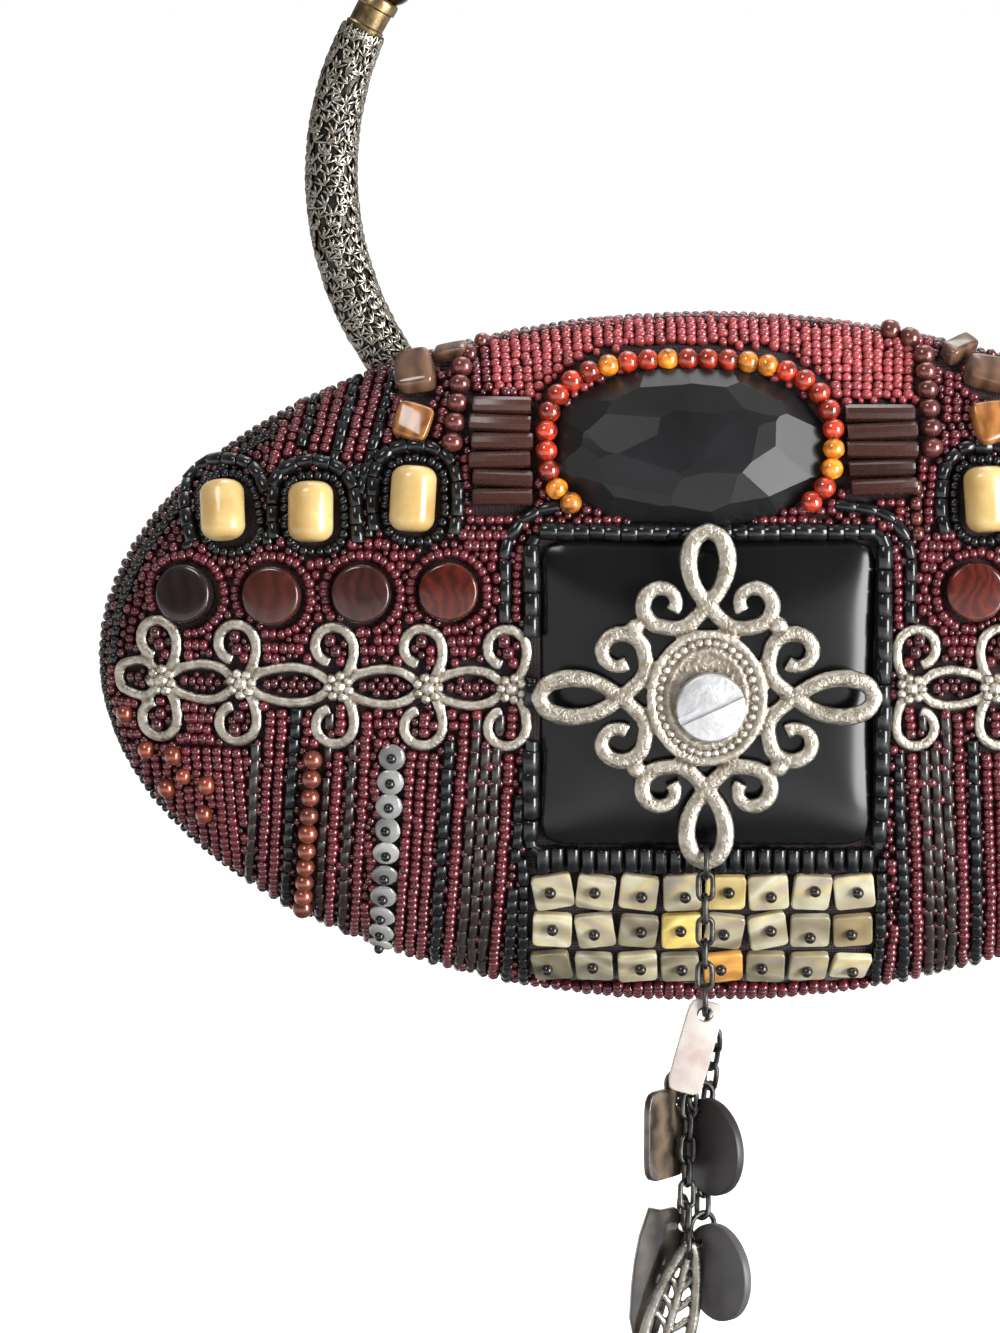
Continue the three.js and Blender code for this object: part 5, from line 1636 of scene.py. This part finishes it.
def oval_ring(x, z, half_width, half_height, squareness, turn=0.0):
    """A ring round a bead, as places in X and Z."""
    angle = np.linspace(0, 2 * math.pi, 120)
    reach = squarish(angle, squareness)
    u, v = half_width * reach * np.cos(angle), half_height * reach * np.sin(angle)
    bend = math.radians(turn)
    return x + u * math.cos(bend) - v * math.sin(bend), z + v * math.cos(bend) + u * math.sin(bend)


FRAME = dict(half_width=32.5, half_height=30.1, corner=3.0)
for x in np.arange(-30.2, 30.3, 2.745):
    sew("black_tube", CABOCHON[0] + x, (-32.4, -37.1), 1.31, 4.3, BLACK, check=False)
across = CABOCHON[0] + np.linspace(-30.5, 30.5, 80)
sew("black_tube", across, CABOCHON[1] + FRAME["half_height"], 1.6, 2.9, BLACK)
for side in (-1, 1):
    upward = CABOCHON[1] + np.linspace(-27.5, 27.5, 80)
    sew("black_tube", CABOCHON[0] + side * FRAME["half_width"], upward, 1.6, 4.2, BLACK)
    sew("black_tube", -1.1 + side * 33.5, np.linspace(-34.6, -60.5, 80), 1.1, 2.6, BLACK, check=False)
frame_x, frame_z = rounded_frame(**FRAME)
sew("black_tube", CABOCHON[0] + frame_x, CABOCHON[1] + frame_z, 1.2, 2.0, BLACK)
block_oval(*CABOCHON, 33.7, 31.5, 12)
block_oval(-0.9, -40, 33.6, 9, 12)
print("frame:", bead_count(), "beads")

# %% Ring the beads
OUTER_CORNER = ((23.4, 31.6), (31.0, 30.4), (35.4, 27.2), (37.2, 22.5), (37.3, 15), (37.3, 6))
INNER_CORNER = ((20.0, 28.4), (27, 28.2), (31.5, 27), (34.3, 23.4), (35.0, 19), (35.0, 12), (35.0, 7))
for sign in (-1, 1):
    outer, inner = (smooth_path([(CABOCHON[0] + sign * x, z) for x, z in corner], 0.4).T
                    for corner in (OUTER_CORNER, INNER_CORNER))
    sew("black_tube", *outer, 1.15, 3.6, BLACK)
    sew("maroon_seed", *inner, 1.0, 1.5, MAROON)
    for x, z, lean, length in BONES:
        ring = oval_ring(bone_side(sign, x), z, 5.5, length / 2 + 1.3, 3, sign * lean)
        sew("black_seed", *ring, 1.0, 1.5, BLACK)
    for x, z, lean, length in BONES:
        ring_x, ring_z = oval_ring(bone_side(sign, x), z, 7.8, length / 2 + 3.6, 2.8, sign * lean)
        upper = ring_z > z - length / 2
        start = int(np.argmax(upper & ~np.roll(upper, 1)))
        turned = np.roll(np.arange(len(ring_x)), -start)[: int(upper.sum())]
        sew("black_tube", ring_x[turned], ring_z[turned], 1.32, 3.1, BLACK)
    for x, z in DISCS:
        sew("maroon_seed", *oval_ring(sign * x, z, 7.1, 7.1, 2), 1.0, 1.5, MAROON)
print("rings and frames:", bead_count(), "beads")

# %% [markdown]
# ### Stripes and border
#
# Below the strips the strings run down to the rim in stripes of maroon seeds, black tubes and smoky
# tubes. On the shoulders they lean, two of maroon and one of black. Five dark strings follow the rim
# from the shoulder towards the tip, and the outermost one goes on along the lower rim.

# %% Sew the stripes
STRIPES = ((-85.9, "smoke"), (-83.4, "maroon"), (-81.2, "maroon"), (-78.7, "black"), (-72.4, "umber"),
           (-70.4, "maroon"), (-67.8, "umber"), (-65.4, "maroon"), (-56.9, "maroon"), (-54.7, "maroon"),
           (-52.5, "maroon"), (-49.9, "black"), (-47.4, "maroon"), (-45.1, "smoke"), (-43.0, "smoke"),
           (-40.9, "smoke"), (-38.6, "maroon"), (-36.0, "black"))
STRING_KINDS = dict(maroon=("maroon_seed", SEED, 1.5, MAROON), black=("black_tube", 1.12, 2.6, BLACK),
                    smoke=("smoke_tube", 0.95, 3.2, SMOKE), umber=("smoke_tube", 0.95, 3.0, UMBER))
down = np.linspace(-4, -64, 200)
lean_in = 0.068 * (down + 35)
for sign in (-1, 1):
    for x, colour in STRIPES:
        kind, radius, length, tint = STRING_KINDS[colour]
        sew(kind, -sign * (x + lean_in), down, radius, length, tint)
print("after the stripes:", bead_count(), "beads")

# %% Sew the border and the shoulders
BORDER = ((0.993, 134, 250), (0.976, 136, 183), (0.951, 139, 181), (0.921, 142, 179), (0.887, 146, 176))
BORDER_TINTS = (UMBER, BLACK, WINE, BLACK, UMBER)
bone_x, bone_z = zip(*(bone[:2] for bone in BONES))
for sign in (-1, 1):
    for x in np.arange(46.5, 97, 2.1):
        middle = np.interp(x, bone_x, bone_z)
        rise = np.linspace(middle - 5.5, middle + 7.5, 60)
        sew("black_tube", bone_side(sign, x), rise, 1.0, 2.1, BLACK)
    for row, (rho, start, end) in enumerate(BORDER):
        angle = np.radians(np.linspace(start, end, 300))
        x, z = -sign * HALF_WIDTH * rho * np.cos(angle), HALF_HEIGHT * rho * np.sin(angle)
        sew("black_tube" if row % 2 else "black_seed", x, z, 0.95, 1.7, BORDER_TINTS[row])
    for i in range(18):
        foot = 50.5 + 2.2 * i
        rise = np.linspace(33, 64, 120)
        kind, radius, length, tint = STRING_KINDS["black" if i % 3 == 2 else "maroon"]
        sew(kind, sign * (foot - 0.3 * (rise - 44)), rise, min(radius, SEED), length, tint)
print("after the shoulders:", bead_count(), "beads")

# %% [markdown]
# ### Ground
#
# The band over the oval is sewn in strings that run up to the rim, in a rosier maroon. The rest of
# the front is sewn in level strings, and what is left below the strips in strings that run down.
# Larger wine-red beads fill the hooks of the strips, and a short row of seeds each pointed loop.
# Single copper pearls lie near the lower rim, and brown ones near the tube stacks.

# %% Sew the top band and the single pearls
COPPER_SPOTS = ((108.7, -9), (104.8, -15.8), (99.9, -16.7), (93.6, -21.9), (101.2, -23), (94.3, -27.5),
                (98, -20.5))
PEARL_SPOTS = ((-44.4, 57.2, 1.6), (-42.2, 59.2, 1.6), (37.0, 59.6, 2.0), (33.4, 61.0, 1.95),
               (29.8, 62.0, 1.9), (37.1, 34.5, 1.4), (37.4, 31.7, 1.4), (37.6, 29.0, 1.3), (37.8, 26.2, 1.3))
COPPER, BROWN_PEARL = (0.26, 0.06, 0.034), (0.15, 0.042, 0.033)
for x, z, radius in PEARL_SPOTS:
    sew_one("copper_seed", x, z, radius, 2.2, 1.9, BROWN_PEARL)
for x in np.arange(-48.0, 48.1, 1.86):
    top_tint = ROSE if abs(x) < 40 else MAROON
    for kind, foot, top, tint in (("rose_seed", 46, 64.4, top_tint), ("maroon_seed", 28, 46, MAROON)):
        rise = np.linspace(foot, top, 100)
        sew(kind, x * (1 + 0.0022 * (rise - 45)), rise, 0.98, 1.55, tint)
for sign in (-1, 1):
    for x, end, share in fleurs():
        for upward in (-1, 1):
            for u, v in ((1.4, 8.6), (0.7, 6.4)):
                sew_one("wine_seed", sign * (x + share * u), STRIP_Z + upward * v, 1.25, 1.8, 1.7, WINE)
        row = np.linspace(x + 0.26 * (end - x), x + 0.8 * (end - x), 30)
        sew("maroon_seed", sign * row, STRIP_Z, 0.95, 1.6, WINE, check=False)
    for x, z in COPPER_SPOTS:
        sew_one("copper_seed", sign * x, z, 1.75, 2.2, 1.9, COPPER)
print("after the top band:", bead_count(), "beads")

# %% Sew the ground
STRING_STEP, SEED_STEP = 1.95, 1.52
level = np.linspace(-113, 113, 700)
z = -13.0
while z < 60:
    sew("maroon_seed", level, z, SEED, SEED_STEP, MAROON)
    z += STRING_STEP * float(seats(60, z)[2][2])
for x in np.arange(-112.0, 112.1, STRING_STEP):
    sew("maroon_seed", x - lean_in * np.sign(-x), down, SEED, SEED_STEP, MAROON)
print("after the ground:", bead_count(), "beads")

# %% Close the gaps
spots_x, spots_z = np.meshgrid(np.arange(-113.5, 113.6, 0.6), np.arange(-64, 64.1, 0.6))
inside = np.hypot(spots_x / HALF_WIDTH, spots_z / HALF_HEIGHT) < 0.995
spots_x, spots_z = spots_x[inside], spots_z[inside]
open_spots = ~blocked(spots_x, spots_z)
spots, spots_out, _, spots_right = seats(spots_x[open_spots], spots_z[open_spots], 0.78)
filled = 0
for radius in (0.85, 0.62):
    for point, out, right in zip(spots, spots_out, spots_right):
        shade = ROSE if point[2] > 50 and abs(point[0]) < 40 else WINE
        if room_for(point, radius):
            place("wine_seed", point, right, out, (radius, radius, radius), shade)
            filled += 1
print("gaps closed:", filled)

# %% Edge the rim
RIM_OUT, RIM_STEP, MOUTH_HALF, LIP = 0.3, 1.8, 47.5, 3.6
angle = np.linspace(0, 2 * math.pi, 361)
edge = np.column_stack([(HALF_WIDTH + RIM_OUT) * np.cos(angle), np.zeros(361),
                        (HALF_HEIGHT + RIM_OUT) * np.sin(angle)])
edge = smooth_path(edge, RIM_STEP)[:-1]
mouth_gap = (edge[:, 2] > 20) & (np.abs(edge[:, 0]) < MOUTH_HALF)
lips = [edge[mouth_gap] + (0, lift, -0.2) for lift in (-LIP, LIP)]
rim = np.vstack([edge[~mouth_gap], *lips])
rim_out = unit(rim * (1 / HALF_WIDTH ** 2, 0, 1 / HALF_HEIGHT ** 2))
rim_along = np.cross(rim_out, [0.0, 1.0, 0.0])
for point, along, out in zip(rim, rim_along, rim_out):
    side = "left" if point[0] < 0 else "right"
    baskets.setdefault(("rim_seed", side), []).append((point, along, out, (1.0, 1.0, 1.0), RIM))
print("rim beads:", len(rim))

# %% Make the bead meshes
PLUMP = 1.05
seed_glass = tinted("seed_glass", (0.14, 0.26), Coat_Weight=0.6, Coat_Roughness=0.06)
black_glass = tinted("black_glass", (0.1, 0.2), Specular_IOR_Level=0.5)
smoke_glass = tinted("smoke_glass", (0.12, 0.24), Transmission_Weight=0.2, Coat_Weight=0.2)
GLASS = dict(black_seed=black_glass, black_tube=black_glass, smoke_tube=smoke_glass, copper_seed=pearl_glass)
beads = 0
for (kind, side), basket in sorted(baskets.items()):
    points, along, out, sizes, tints = (np.array(column) for column in zip(*basket))
    shape = cut_tube if kind.endswith("tube") else seed_bead
    shades = tints * (1 + 0.16 * dice.standard_normal((len(points), 1))).clip(0.55, 1.6)
    sizes = sizes * (PLUMP + 0.05 * dice.standard_normal((len(points), 1))).clip(0.92, 1.14)
    field = strew(f"{kind}s_{side}", shape, points, along, out, sizes, shades)
    slot = "copper_bead" if kind == "copper_seed" else "pouch_cloth"
    hand_over(field, GLASS.get(kind, seed_glass), slot, smooth=50)
    beads += len(points)
    print(field.name, len(points), "beads,", count_triangles(field), "triangles")
print("beads in all:", beads)
